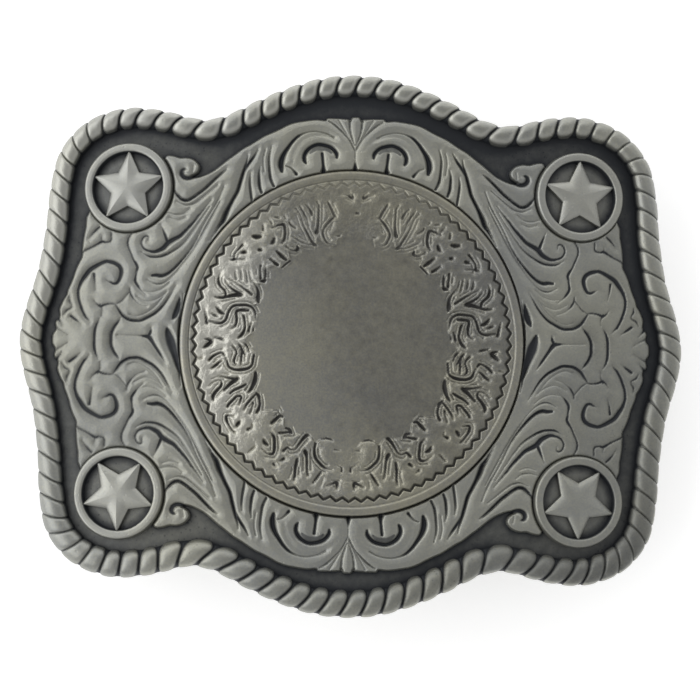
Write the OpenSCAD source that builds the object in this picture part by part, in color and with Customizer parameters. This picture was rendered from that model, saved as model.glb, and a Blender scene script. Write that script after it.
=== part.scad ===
// Western belt buckle: a bowed cast face with a rope edge, raised scrollwork and four star conchos,
// a separate round medallion in a seat, and on the back a wire belt loop and a hook post.
// The buckle lies face up on a table. X runs across its width and Z out of its face.

/* [Buckle] */
// Width over the rope edge
buckle_w = 98; // [92:1:106]
// Radius of the bow across the width, at the sunk ground
bow_r = 220; // [180:5:280]
// Thickness of the plate from its back to the sunk ground
plate_t = 2; // [1.8:0.1:2.6]
// Height of the plate's back over the table, at the middle
back_h = 11; // [11:0.1:13]

/* [Rope edge] */
// Number of strands round the edge
strand_count = 100; // [80:4:120]
// Width of the rope
rope_w = 3.4; // [3:0.1:3.8]
// Height of the rope over the sunk ground
rope_h = 1.9; // [1.4:0.1:2.2]
// Depth of the cuts between strands
strand_cut = 0.75; // [0.4:0.05:0.9]
// How far a strand's outer end is ahead of its inner end
rope_lead = 1.35; // [0.8:0.05:1.8]

/* [Scrollwork] */
// Height of the scrollwork over the sunk ground
relief_h = 1.1; // [0.8:0.1:1.4]
// Depth of the lines cut in the scrollwork
line_cut = 0.55; // [0.3:0.05:0.7]

/* [Star conchos] */
// Outer radius of a concho's ring
ring_r = 6.65; // [6:0.05:7]
// Width of the ring's band
ring_w = 1.4; // [1.1:0.1:1.8]
// Radius over the points of the star
star_r = 5.45; // [4.8:0.05:5.6]
// Height of the star's middle over the sunk ground
star_h = 1.7; // [1.2:0.1:2]

/* [Medallion] */
// Radius of the medallion
medallion_r = 24.8; // [24.2:0.1:25]
// Thickness of the medallion under its flat band
medallion_t = 1.1; // [0.8:0.1:1.4]
// Teeth of the engraved zigzag line
zigzag_teeth = 80; // [60:2:110]
// Depth of the engraving
engraving = 0.25; // [0.1:0.05:0.4]

/* [Belt loop] */
// Diameter of the loop's wire
wire_d = 3.5; // [3:0.1:4]
// Clear width inside the loop, for the belt
belt_w = 39.5; // [35:0.5:42]
// Place of the pivot lugs from the middle
pivot_x = 22; // [20:0.5:24]
// Place of the loop's bar from the middle
bar_x = 34; // [32:0.5:37]

/* [Hook] */
// Place of the hook post from the middle
hook_x = -30; // [-34:0.5:-26]
// Diameter of the post
post_d = 5; // [4:0.5:6]
// Radius of the dome that ends it
dome_r = 3.2; // [2.8:0.1:6]

/* [Hidden] */

// Facets of a circle of the bow's size, and of one of the fittings' size
bow_fn = 720;
small_fn = 64;
slack = 0.1;
bow_z = back_h + plate_t - bow_r;

// The charts below give one quarter of the buckle, which is alike in all four. They hold the places seen
// from straight in front, where the middle of the bow is nearer than its ends and so looks larger.
chart_scale = 0.975 * buckle_w / 98;
view_far = 200;
function seated(p) = let (k = chart_scale * (1 + p.x * p.x / (2 * bow_r * view_far)))
    [for (i = [0:len(p) - 1]) p[i] * (i < 2 ? k : 1)];
function seated_all(rows) = [for (row = rows) seated(row)];

// Outer edge of the rope: columns are x, y
edge_chart = [[48.9, 0], [48.3, 4.2], [46.6, 10.3], [45.65, 16.7], [45.2, 22.5], [43.9, 28.1], [40.2, 32.5],
    [34.7, 34.7], [29, 34.5], [23.2, 33.2], [19.5, 33.8], [14.9, 36.1], [10.2, 38.2], [5.2, 39.75], [0, 40.26]];

// Edge of the raised scrollwork, which runs under the concho's ring: columns are x, y
scroll_chart = [[43.9, 0], [43.6, 2.4], [43.1, 4.3], [42.2, 6.4], [41.7, 8], [40.9, 10.4], [40.1, 12.4],
    [40, 15], [39.2, 19], [35, 22.5], [29, 25.5], [27.9, 27.5], [26, 27.1], [24.6, 27], [23.4, 26],
    [23.3, 25.2], [24.3, 24.5], [22.6, 24.7], [20.4, 25.9], [16.8, 28.7], [13.6, 30.7], [10.2, 32.4],
    [6.8, 33.2], [4.4, 33.2], [4, 33.6], [1, 33.5], [0, 33.8]];

// Lines cut in the scrollwork, each from its start to its end: columns are x, y and the line's width
scroll_lines = [
    // Side volute, its branch and the fork under it
    [[38.6, 2.7, 0.1], [39.9, 4.8, 0.5], [40.4, 6.9, 0.6], [39.4, 9.4, 0.7], [37.2, 11.2, 0.8],
        [35.2, 11.2, 0.8], [34.2, 9.8, 0.7], [34.7, 8.4, 0.5], [36.1, 8.6, 0.1]],
    [[38.4, 9.6, 0.6], [37.7, 7.2, 0.1]],
    [[37.8, 5.4, 0.2], [36.7, 4.9, 0.6], [34.8, 5.1, 0.2]],
    // Husk round the side's middle, outer and inner line
    [[37, 3.2, 0.2], [37.7, 1.2, 0.5], [37.8, -0.3, 0.5]],
    [[34, 3, 0.2], [35.1, 1.4, 0.5], [35.35, -0.3, 0.5]],
    // Small cuts of the side's fan
    [[41.4, 3.4, 0.6], [39.6, 2.1, 0.1]],
    [[41.5, 6.1, 0.4], [41.5, 4.6, 0.4], [42.4, 3.5, 0.2]],
    // Lowest leaf
    [[34.8, 5, 0.3], [33.6, 3.2, 0.5], [31.8, 2.7, 0.6], [29.5, 3.6, 0.6], [27.6, 5.5, 0.5], [26, 7.8, 0.1]],
    // Long wedge beside the medallion
    [[24.9, 6.6, 0.1], [25.35, 4.3, 0.6], [25.5, 1.5, 0.9], [25.6, -0.3, 0.9]],
    // Divider between the volute and the leaves
    [[32.9, 15.7, 0.3], [33.3, 14, 0.4], [32, 11, 0.5], [32, 8.6, 0.6], [30.6, 6.7, 0.1]],
    [[32.8, 7.5, 0.3], [32.2, 6, 0.4], [30.7, 4.9, 0.1]],
    // Second leaf
    [[29.6, 9.5, 0.7], [27.6, 9.6, 0.7], [25.5, 11.5, 0.5], [23.9, 13.6, 0.4], [21.4, 18.5, 0.3],
        [19.3, 23, 0.1]],
    // Middle volute and its long wedge
    [[31, 12.8, 0.2], [29.3, 12.3, 0.5], [27, 12.9, 0.5], [25, 14.3, 0.2]],
    [[30.3, 15.2, 0.3], [31.3, 14.3, 0.4], [30.4, 13.1, 0.5], [28.6, 13.3, 0.8], [26.6, 14.8, 0.8],
        [24, 17.2, 0.6], [21.4, 20.5, 0.2]],
    [[28.4, 17, 0.1], [27.6, 14.7, 0.6]],
    // Upper leaf and the small volute beside the concho
    [[26.9, 22.3, 0.3], [25.4, 20.8, 0.6], [23.6, 21.4, 0.5], [21.4, 23.2, 0.4], [19.6, 24.6, 0.1]],
    [[25.4, 24.7, 0.6], [24, 23.6, 0.5], [22.2, 23.9, 0.4], [19.8, 25.2, 0.1]],
    // Stem that runs up past the medallion
    [[15.9, 27.4, 0.2], [16.9, 23.8, 0.5], [19.1, 18.8, 0.7], [20.8, 15.6, 0.3]],
    [[14.6, 28.3, 0.1], [16.3, 25.5, 0.5], [17, 24, 0.1]],
    [[14.2, 25.4, 0.1], [14.1, 23.4, 0.4], [13.6, 22.1, 0.1]],
    [[12.5, 29, 0.1], [12.7, 26.2, 0.4], [12, 23.2, 0.1]],
    // Top scroll: its wedge, crescent and stem
    [[9, 30.9, 0.1], [10.5, 28.4, 0.6], [11, 26.6, 1], [10.7, 24.5, 0.2]],
    [[2.8, 27, 0.3], [3.6, 28.6, 0.9], [5.1, 29, 1.2], [6.9, 28.4, 0.9], [7.4, 27, 0.3]],
    [[4.9, 28.8, 0.5], [4.7, 25.4, 0.5]]];

// Line between the two top scrolls, which has no copy beside it: columns are as above
middle_lines = [[[0, 31, 0.2], [0, 25, 0.7]]];

// Seed-shaped cuts of the medallion's wreath, alike in its quarters: columns are the angle from the X axis,
// the radius, the length, the width and the turn from the radius. The radii belong to a disc of wreath_chart_r
wreath_chart_r = 25.8;
wreath_cuts = [[4, 19.8, 2.6, 0.9, 70], [8, 16.4, 3, 0.7, 80], [8.5, 18, 3.2, 0.6, 70], [12, 20.6, 2.4, 0.9, 15],
    [18, 19.6, 3.6, 0.9, 20], [21, 17.2, 4, 0.8, -25], [26, 19.6, 2.6, 1, -20], [32, 16.8, 2.6, 1.1, -55],
    [34, 20.9, 2.2, 1.1, 60], [38, 18.9, 2, 0.9, 20], [43, 20.8, 1.8, 0.9, -30], [46, 18.3, 1.8, 0.8, 80],
    [47, 16, 1.8, 0.9, 10], [52, 19.2, 2.8, 0.6, 40], [55, 16.4, 1.6, 0.8, -30], [60, 20, 3.6, 0.6, 15],
    [64, 17, 3.4, 0.7, -10], [67, 20, 3.2, 0.8, 10], [71, 19.2, 3.6, 0.8, -15], [75, 17.2, 3.4, 0.7, 25],
    [79, 19.9, 2.8, 0.6, -20], [84, 17.8, 3.2, 0.6, 75]];

// A smooth curve through rows of numbers, which bends through each row by its neighbours' direction
function bent(a, b, c, d, t) = b + (c - a) * t / 2 + (2 * a - 5 * b + 4 * c - d) * t * t / 2
    + (3 * b - a - 3 * c + d) * t * t * t / 2;
function smooth_line(rows, steps) = let (n = len(rows), last = n - 1)
    [for (i = [0:n - 2], j = [0:steps - (i == n - 2 ? 0 : 1)])
        bent(rows[max(i - 1, 0)], rows[i], rows[i + 1], rows[min(i + 2, last)], j / steps)];
function smooth_loop(rows, steps) = let (n = len(rows))
    [for (i = [0:n - 1], j = [0:steps - 1])
        bent(rows[(i + n - 1) % n], rows[i], rows[(i + 1) % n], rows[(i + 2) % n], j / steps)];

// The whole outline from one quarter of it, clockwise from the right end
function reversed(rows) = [for (i = [len(rows) - 1:-1:0]) rows[i]];
function part_of(rows, first, last) = [for (i = [first:last]) rows[i]];
function all_round(rows) = let (n = len(rows) - 1)
    concat([for (p = part_of(rows, 0, n)) [p.x, -p.y]], [for (p = reversed(part_of(rows, 0, n - 1))) [-p.x, -p.y]],
        [for (p = part_of(rows, 1, n)) [-p.x, p.y]], [for (p = reversed(part_of(rows, 1, n - 1))) [p.x, p.y]]);

// The strip that a line of changing width covers
function strip(rows) = let (
    pts = smooth_line(rows, 2),
    n = len(pts),
    side = [for (i = [0:n - 1]) let (d = pts[min(i + 1, n - 1)] - pts[max(i - 1, 0)], l = norm([d.x, d.y]))
        [-d.y, d.x] / l * pts[i][2] / 2])
    concat([for (i = [0:n - 1]) [pts[i].x, pts[i].y] + side[i]],
        [for (i = [n - 1:-1:0]) [pts[i].x, pts[i].y] - side[i]]);

// A solid cylinder of the bow, at a height over the sunk ground
module bow(height) {
    translate([0, 0, bow_z])
        rotate([90, 0, 0])
            cylinder(r = bow_r + height, h = 2 * buckle_w, center = true, $fn = bow_fn);
}

// What stands on a flat outline, between two heights over the sunk ground of the bow
module bowed(low, high) {
    difference() {
        intersection() {
            linear_extrude(back_h + 2 * plate_t) children();
            bow(high);
        }
        bow(low);
    }
}

module in_four() {
    for (sx = [1, -1], sy = [1, -1])
        mirror([sx < 0 ? 1 : 0, 0, 0])
            mirror([0, sy < 0 ? 1 : 0, 0])
                children();
}

// Places its children at x on the bow, standing square to it, with the sunk ground at their zero
module on_bow(x, y, height) {
    translate([0, y, bow_z])
        rotate([0, asin(x / bow_r), 0])
            translate([0, 0, bow_r + height])
                children();
}

// The outline of the rope's outer edge as a table of its length, so that a place along it can be looked up
edge_line = smooth_loop(seated_all(all_round(edge_chart)), 6);
function running(pts, i, total) = i == len(pts) ? [total] :
    concat([total], running(pts, i + 1, total + norm(pts[(i + 1) % len(pts)] - pts[i])));
edge_at = running(edge_line, 0, 0);
edge_len = edge_at[len(edge_line)];
edge_xs = [for (i = [0:len(edge_line)]) [edge_at[i], edge_line[i % len(edge_line)].x]];
edge_ys = [for (i = [0:len(edge_line)]) [edge_at[i], edge_line[i % len(edge_line)].y]];
function wrapped(s) = s - edge_len * floor(s / edge_len);
function edge_point(s) = [lookup(wrapped(s), edge_xs), lookup(wrapped(s), edge_ys)];
function edge_inward(s) = let (d = edge_point(s + 0.9) - edge_point(s - 0.9)) [d.y, -d.x] / norm(d);
function inside_edge(s, inward) = edge_point(s) + edge_inward(s) * inward;

// The flat shape inside the outer edge, and the band between two such shapes
edge_steps = 132;
module inside_outline(inward) {
    polygon([for (i = [0:edge_steps - 1]) inside_edge(i * edge_len / edge_steps, inward)]);
}
module edge_band(outer, inner) {
    difference() {
        inside_outline(outer);
        inside_outline(inner);
    }
}

// Rope edge: a stepped round rail, cut between its strands by the corner of a square bar laid across it
rope_under = -0.9;
shoulder = 0.55;
module rope_edge() {
    difference() {
        union() {
            bowed(rope_under, rope_h - shoulder) edge_band(0.1, rope_w);
            bowed(rope_under / 2, rope_h) edge_band(0.1 + shoulder, rope_w - shoulder);
        }
        for (i = [0:strand_count - 1])
            let (s = i * edge_len / strand_count, out = edge_point(s + rope_lead / 2),
                in = inside_edge(s - rope_lead / 2, rope_w), mid = (out + in) / 2,
                turn = atan2(out.y - in.y, out.x - in.x), slope = asin(mid.x / bow_r))
            translate([mid.x, mid.y, bow_z + sqrt(pow(bow_r + rope_h, 2) - mid.x * mid.x)])
                rotate([0, 0, turn])
                    rotate([45, slope * cos(turn), 0])
                        cube([rope_w + 3, strand_cut * sqrt(2), strand_cut * sqrt(2)], center = true);
    }
}

// One concho: a round ring, the sunk floor inside it and a five-pointed star with ridged arms
star_waist = 0.45;
module star_concho() {
    floor_h = 0.35;
    tip_h = 0.85;
    waist_h = 0.95;
    root_h = -0.6;
    foot_h = -0.8;
    points = concat([[0, 0, star_h]], [for (i = [0:9]) let (r = i % 2 == 0 ? star_r : star_r * star_waist)
        [r * sin(i * 36), r * cos(i * 36), i % 2 == 0 ? tip_h : waist_h]],
        [for (i = [0:9]) let (r = i % 2 == 0 ? star_r : star_r * star_waist)
        [r * sin(i * 36), r * cos(i * 36), root_h]]);
    faces = concat([for (i = [0:9]) [0, 1 + i, 1 + (i + 1) % 10]],
        [for (i = [0:9]) each [[1 + i, 11 + i, 11 + (i + 1) % 10], [1 + i, 11 + (i + 1) % 10, 1 + (i + 1) % 10]]],
        [[for (i = [9:-1:0]) 11 + i]]);
    translate([0, 0, foot_h]) cylinder(r = ring_r - 0.3, h = floor_h - foot_h, $fn = small_fn);
    rotate_extrude($fn = small_fn)
        intersection() {
            translate([ring_r - ring_w, foot_h]) square([ring_w, 3]);
            union() {
                translate([ring_r - ring_w / 2, 0.85]) circle(r = ring_w * 0.55, $fn = 32);
                translate([ring_r - ring_w * 0.95, foot_h]) square([ring_w * 0.9, 0.8 - foot_h]);
            }
        }
    polyhedron(points = points, faces = faces);
}

// Cast face
concho = seated([33.4, 22.55]);
seat_r = medallion_r + 0.15;
lug_y = belt_w / 2 - 4;
lug_w = 4;
wire_r = wire_d / 2;
pivot_z = bow_z + sqrt(pow(bow_r - plate_t, 2) - pivot_x * pivot_x) - wire_r - 1.2;
boss_h = 1;
stem_r = 1.6;
stem_len = boss_h + plate_t / 2;
boss_d = post_d + 4;

module cast_face() {
    color([0.55, 0.56, 0.53])
    difference() {
        union() {
            bowed(-plate_t, 0) inside_outline(0.75);
            scrollwork();
            in_four() on_bow(concho.x, concho.y, 0) star_concho();
            rope_edge();
            for (side = [1, -1]) loop_lug(side);
            on_bow(hook_x, 0, -plate_t - boss_h) cylinder(d = boss_d, h = boss_h + 1, $fn = small_fn);
        }
        bowed(0, 4) circle(r = seat_r, $fn = 2 * small_fn);
        for (side = [1, -1])
            translate([pivot_x, side * (lug_y - lug_w), pivot_z])
                rotate([-90 * side, 0, 0])
                    cylinder(r = wire_r + slack, h = 2 * lug_w, $fn = small_fn);
        on_bow(hook_x, 0, -plate_t - boss_h - 1) cylinder(r = stem_r + slack / 2, h = stem_len + 1.1, $fn = small_fn);
    }
}

// Raised scrollwork with its cut lines, and a cut round each concho
module scrollwork() {
    cut_low = relief_h - line_cut;
    difference() {
        bowed(-0.4, relief_h) polygon(seated_all(all_round(scroll_chart)));
        for (sx = [1, -1], sy = [1, -1], line = scroll_lines)
            bowed(cut_low, relief_h + 1) polygon([for (p = strip(seated_all(line))) [sx * p.x, sy * p.y]]);
        for (sy = [1, -1], line = middle_lines)
            bowed(cut_low, relief_h + 1) polygon([for (p = strip(seated_all(line))) [p.x, sy * p.y]]);
        for (sx = [1, -1], sy = [1, -1])
            bowed(cut_low, relief_h + 1)
                translate([sx * concho.x, sy * concho.y]) circle(r = ring_r + 0.45, $fn = small_fn);
    }
}

// Lug that holds one end of the loop's wire
module loop_lug(side) {
    eye_r = wire_r + 1.6;
    translate([pivot_x, side * lug_y, pivot_z]) {
        rotate([90, 0, 0]) cylinder(r = eye_r, h = lug_w, center = true, $fn = small_fn);
        translate([-eye_r + 0.25, -lug_w / 2, 0]) cube([2 * eye_r - 0.5, lug_w, wire_r + 2.2]);
    }
}

// Medallion: a bowed disc with a raised rim, a zigzag line and an engraved wreath
module medallion() {
    rim_w = 0.8;
    rim_h = 0.3;
    zigzag_r = medallion_r * 0.898;
    tooth = 0.28;
    line_w = 0.26;
    color([0.42, 0.42, 0.38])
    difference() {
        union() {
            bowed(slack, slack + medallion_t) circle(r = medallion_r, $fn = 2 * small_fn);
            bowed(slack, slack + medallion_t + rim_h)
                difference() {
                    circle(r = medallion_r, $fn = 2 * small_fn);
                    circle(r = medallion_r - rim_w, $fn = 2 * small_fn);
                }
        }
        bowed(slack + medallion_t - engraving, 4)
            difference() {
                zigzag(zigzag_r + line_w / 2, tooth);
                zigzag(zigzag_r - line_w / 2, tooth);
            }
        bowed(slack + medallion_t - engraving, 4)
            for (sx = [1, -1], sy = [1, -1], cut = wreath_cuts)
                polygon([for (p = seed(cut)) [sx * p.x, sy * p.y]]);
    }
}

module zigzag(r, tooth) {
    n = 2 * zigzag_teeth;
    polygon([for (i = [0:n - 1]) let (rr = r + (i % 2 == 0 ? tooth : -tooth)) rr * [cos(i * 360 / n), sin(i * 360 / n)]]);
}

// A pointed seed shape from one row of the wreath
function seed(row) = let (a = row[0], turn = row[4], middle = row[1] * medallion_r / wreath_chart_r * [cos(a), sin(a)],
    along = [cos(a + turn), sin(a + turn)], across = [-along.y, along.x])
    [for (t = [[-0.5, 0], [-0.2, 0.4], [0.15, 0.5], [0.5, 0], [0.15, -0.5], [-0.2, -0.4]])
        middle + along * t.x * row[2] + across * t.y * row[3]];

// Belt loop: round wire, bent in one plane that slopes from the lugs to the table
module belt_loop() {
    drop = pivot_z - wire_r;
    reach = norm([bar_x - pivot_x, drop]);
    slope = atan2(drop, bar_x - pivot_x);
    arm_y = (belt_w + wire_d) / 2;
    end_y = lug_y - lug_w / 2 - 0.6;
    inner_bend = 3;
    outer_bend = 4.5;
    color([0.6, 0.6, 0.58])
    translate([pivot_x, 0, pivot_z])
        rotate([0, slope, 0]) {
            translate([reach, 0, 0]) wire(arm_y * 2 - 2 * outer_bend, [90, 0, 0], true);
            for (side = [1, -1]) mirror([0, side < 0 ? 1 : 0, 0]) {
                translate([reach - outer_bend, arm_y - outer_bend, 0]) bend(outer_bend, 0);
                translate([inner_bend, arm_y, 0]) wire(reach - inner_bend - outer_bend, [0, 90, 0], false);
                translate([inner_bend, arm_y - inner_bend, 0]) bend(inner_bend, 90);
                translate([0, end_y, 0]) wire(arm_y - inner_bend - end_y, [-90, 0, 0], false);
            }
        }
}

module wire(length, turn, middle) {
    rotate(turn) cylinder(r = wire_r, h = length, center = middle, $fn = small_fn);
}

module bend(r, start) {
    rotate([0, 0, start])
        rotate_extrude(angle = 90, $fn = small_fn)
            translate([r, 0]) circle(r = wire_r, $fn = small_fn);
}

// Hook post: a plain domed stud that reaches down to the table, its stem set in the boss on the plate's back
module hook_post() {
    lean = asin(hook_x / bow_r);
    base_z = bow_z + (bow_r - plate_t - boss_h) * cos(lean);
    shank = (base_z - dome_r) / cos(lean);
    color([0.6, 0.6, 0.58])
    on_bow(hook_x, 0, -plate_t - boss_h) {
        translate([0, 0, -slack]) cylinder(r = stem_r, h = stem_len, $fn = small_fn);
        translate([0, 0, -shank])
            rotate_extrude($fn = small_fn)
                intersection() {
                    translate([0, -dome_r]) square([post_d / 2, shank + dome_r - slack / 2]);
                    union() {
                        circle(r = dome_r, $fn = small_fn);
                        square([post_d, shank]);
                    }
                }
    }
}

cast_face();
medallion();
belt_loop();
hook_post();
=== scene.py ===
"""Looks of the western belt buckle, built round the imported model: the bowed cast face with its
scrollwork, rope edge and four star conchos, the engraved medallion set in it, and the plain belt
loop and hook post behind."""

import bpy
import numpy as np
from mathutils import Matrix, Vector


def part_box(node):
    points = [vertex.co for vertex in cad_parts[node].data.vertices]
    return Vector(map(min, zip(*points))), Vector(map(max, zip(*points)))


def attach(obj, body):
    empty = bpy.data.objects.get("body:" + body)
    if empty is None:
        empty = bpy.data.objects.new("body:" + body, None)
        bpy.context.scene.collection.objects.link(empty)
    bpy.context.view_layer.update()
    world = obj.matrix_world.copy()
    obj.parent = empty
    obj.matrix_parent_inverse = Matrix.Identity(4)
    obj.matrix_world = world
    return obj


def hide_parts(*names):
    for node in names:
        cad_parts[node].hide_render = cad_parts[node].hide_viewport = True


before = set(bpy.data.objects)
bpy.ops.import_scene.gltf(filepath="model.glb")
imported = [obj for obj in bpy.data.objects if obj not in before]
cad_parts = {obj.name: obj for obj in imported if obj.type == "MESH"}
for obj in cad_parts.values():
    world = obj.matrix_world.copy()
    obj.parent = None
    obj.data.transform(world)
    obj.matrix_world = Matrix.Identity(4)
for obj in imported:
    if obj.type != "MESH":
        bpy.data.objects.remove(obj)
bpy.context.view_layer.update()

# Bowed plate and the medallion's seat
# The face is one zinc alloy casting, bent to a cylinder so that it lies to the waist, and every
# other piece stands on this bow. Its middle is a plain round bed for the medallion. Places are in
# millimetres, seen from straight above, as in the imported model.
# A name ends in R for a radius, W for a width, H for a height and T for a thickness, and in RUN for
# the distance over which something fades out.
MM = 0.001
BOW_R = 220.0
PLATE_T = 2.0
ROPE_H = 1.9
GROUND_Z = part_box("cast_face")[1].z / MM - ROPE_H
BOW_Z = GROUND_Z - BOW_R
MEDALLION_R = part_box("medallion")[1].x / MM
SEAT_ROOM = 0.15
SEAT_R = MEDALLION_R + SEAT_ROOM
SEAT_COLUMNS = 360
BACK_DARK = 0.3
# Height of the cast grain in metres, as shader nodes measure
GRAIN_H = 0.02 * MM


def on_bow(x, y, height):
    """Points at x and y whose height is measured outwards from the cylinder of the sunk ground."""
    return np.stack([x, y, BOW_Z + np.sqrt((BOW_R + height) ** 2 - x ** 2)], axis=-1)


def grid_faces(columns, rows, around=False, along=False):
    """Corner numbers of the four-sided faces between neighbouring points of a grid of columns,
    each of rows. They face up where the columns go round anticlockwise and the rows go outwards."""
    i, j = np.meshgrid(np.arange(columns - (not around)), np.arange(rows - (not along)),
                       indexing="ij")
    next_i, next_j = (i + 1) % columns, (j + 1) % rows
    corners = [i * rows + j, i * rows + next_j, next_i * rows + next_j, next_i * rows + j]
    return np.stack(corners, axis=-1).reshape(-1, 4)


def fan_faces(ring, pole):
    """Corner numbers of the triangles from each point of a closed ring and the next to a pole."""
    return np.stack([ring, np.roll(ring, -1), np.full_like(ring, pole)], axis=-1)


def surface_normals(points, around=False, along=False):
    """Normals of a grid of points: the cross product of the steps between the neighbours on each
    side. Where a direction doesn't close on itself, its outer points only serve their neighbours
    and are dropped."""
    if around:
        points = np.concatenate([points[-1:], points, points[:1]], axis=0)
    if along:
        points = np.concatenate([points[:, -1:], points, points[:, :1]], axis=1)
    normal = np.cross(points[1:-1, 2:] - points[1:-1, :-2], points[2:, 1:-1] - points[:-2, 1:-1])
    return normal / np.maximum(np.linalg.norm(normal, axis=-1, keepdims=True), 1e-12)


def new_piece(name, points, faces, normals, dark):
    """Makes a smooth mesh piece from points in millimetres and its faces. The normals are those of
    the true surface. The dark attribute says how much of the black finish lies at each point, and
    on some pieces it also holds painted light and shade: 1 is black, 0 is bright, and below 0 the
    metal is brighter still, worn bright or painted lighter."""
    mesh = bpy.data.meshes.new(name)
    faces = [face for part in faces for face in np.asarray(part).tolist()]
    mesh.from_pydata((points.reshape(-1, 3) * MM).tolist(), [], faces)
    mesh.polygons.foreach_set("use_smooth", np.ones(len(mesh.polygons), bool))
    dark_layer = mesh.attributes.new("dark", "FLOAT", "POINT")
    dark_layer.data.foreach_set("value", dark.ravel().astype(np.float32))
    mesh.normals_split_custom_set_from_vertices(normals.reshape(-1, 3))
    piece = bpy.data.objects.new(name, mesh)
    bpy.context.scene.collection.objects.link(piece)
    return piece


def round_piece(name, radius, height, dark, columns, place=on_bow):
    """A piece that is round in plan, closed at a pole above and one below. Its rows, from the upper
    pole outwards over the edge and back in, give radius, height and darkness, and place puts each
    point on what carries it."""
    angle = (np.arange(columns) * 2 * np.pi / columns)[:, None]
    radius, height, dark = [np.broadcast_to(part, (columns, np.shape(part)[-1]))
                            for part in (radius, height, dark)]
    points = place(radius * np.cos(angle), radius * np.sin(angle), height)
    normals = surface_normals(points, around=True)
    rows = points.shape[1] - 2
    ring = np.arange(columns) * rows
    top = fan_faces(ring, columns * rows)
    under = fan_faces(ring + rows - 1, columns * rows + 1)[:, [1, 0, 2]]
    return new_piece(
        name, np.concatenate([points[:, 1:-1].reshape(-1, 3), points[0, [0, -1]]]),
        [grid_faces(columns, rows, around=True), top, under],
        np.concatenate([normals.reshape(-1, 3), normals[:, [0, -1]].mean(0)]),
        np.concatenate([dark[:, 1:-1].ravel(), dark[0, [0, -1]]]))


def new_material(name):
    """A material with nodes, its node tree, and the inputs of its shader."""
    material = bpy.data.materials.new(name)
    material.use_nodes = True
    return material, material.node_tree, material.node_tree.nodes["Principled BSDF"].inputs


def set_sockets(tree, inputs, values):
    """Gives inputs their values: another node's output is linked, anything else is set."""
    for key, value in values.items():
        if isinstance(value, bpy.types.NodeSocket):
            tree.links.new(value, inputs[key])
        else:
            inputs[key].default_value = value


def add_node(tree, kind, sockets=None, **options):
    """Adds a shader node with its options and the values of its sockets."""
    node = tree.nodes.new(kind)
    for key, value in options.items():
        setattr(node, key, value)
    set_sockets(tree, node.inputs, sockets or {})
    return node


def object_place(tree):
    """The place on the object, in metres."""
    return add_node(tree, "ShaderNodeTexCoord").outputs["Object"]


def noise(tree, place, scale, detail, roughness=0.5):
    """Cloudy noise from about 0.3 to 0.7."""
    return add_node(tree, "ShaderNodeTexNoise", {
        "Vector": place, "Scale": scale, "Detail": detail, "Roughness": roughness}).outputs["Fac"]


def reckoned(tree, operation, *values):
    """The result of one arithmetic node."""
    return add_node(tree, "ShaderNodeMath", dict(enumerate(values)), operation=operation).outputs[0]


def ranged(tree, value, low, high, to_low=0.0, to_high=1.0, way="LINEAR"):
    """A value brought from the range between low and high to another range, and kept inside it."""
    return add_node(tree, "ShaderNodeMapRange", {
        "Value": value, "From Min": low, "From Max": high, "To Min": to_low, "To Max": to_high},
        interpolation_type=way).outputs["Result"]


def mixed(tree, share, first, second):
    """Two colours, each a socket or three numbers, mixed by a share from 0 to 1."""
    first, second = [end if isinstance(end, bpy.types.NodeSocket) else (*end, 1.0)
                     for end in (first, second)]
    return add_node(tree, "ShaderNodeMix", {0: share, 6: first, 7: second},
                    data_type="RGBA").outputs[2]


def new_group(name, inputs, outputs):
    """A shader node group with named number inputs and outputs, and the sockets at both ends."""
    group = bpy.data.node_groups.new(name, "ShaderNodeTree")
    for label, value in inputs.items():
        group.interface.new_socket(
            label, in_out="INPUT", socket_type="NodeSocketFloat").default_value = value
    for label in outputs:
        group.interface.new_socket(label, in_out="OUTPUT", socket_type="NodeSocketFloat")
    return (group, add_node(group, "NodeGroupInput").outputs,
            add_node(group, "NodeGroupOutput").inputs)


# The black finish is brushed over the whole casting and then buffing takes it off what stands
# high, so its edge is ragged: the mask is the depth of the place, pushed up and down by noise and
# drawn into a soft step. Painted shade that some pieces add to their dark attribute goes through
# the same mask.
oxide_group, oxide_in, oxide_out = new_group(
    "Oxide and painted shade", {"Depth": 0.0, "Grain": 900.0, "Raggedness": 0.3}, ["Mask"])
oxide_grain = noise(oxide_group, object_place(oxide_group), oxide_in["Grain"], 5.0, 0.62)
oxide_push = reckoned(oxide_group, "SUBTRACT", oxide_grain, 0.5)
oxide_depth = reckoned(oxide_group, "MULTIPLY_ADD", oxide_push, oxide_in["Raggedness"],
                       oxide_in["Depth"])
set_sockets(oxide_group, oxide_out, {
    "Mask": ranged(oxide_group, oxide_depth, 0.04, 0.92, way="SMOOTHSTEP")})

# Cast and buffed metal is never quite even: broad cloudy tone, fine cast grain, and short buffing
# streaks that run across the width.
wear_group, wear_in, wear_out = new_group(
    "Cast grain and buffing", {"Cloud scale": 60.0, "Grain scale": 3500.0, "Streak": 0.4},
    ["Cloud", "Height"])
wear_place = object_place(wear_group)
wear_stretch = add_node(wear_group, "ShaderNodeMapping", {
    "Vector": wear_place, "Scale": (0.12, 1.0, 1.0)}).outputs[0]
wear_cloud = noise(wear_group, wear_place, wear_in["Cloud scale"], 6.0, 0.6)
wear_streak = noise(wear_group, wear_stretch, wear_in["Grain scale"], 3.0)
wear_grain = noise(wear_group, wear_place, wear_in["Grain scale"], 4.0)
wear_push = reckoned(wear_group, "SUBTRACT", wear_grain, 0.5)
wear_tone = reckoned(wear_group, "MULTIPLY_ADD", wear_push, 0.8, wear_cloud)
set_sockets(wear_group, wear_out, {
    "Cloud": ranged(wear_group, wear_tone, 0.3, 0.7),
    "Height": reckoned(wear_group, "MULTIPLY_ADD", wear_streak, wear_in["Streak"], wear_grain)})

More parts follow.
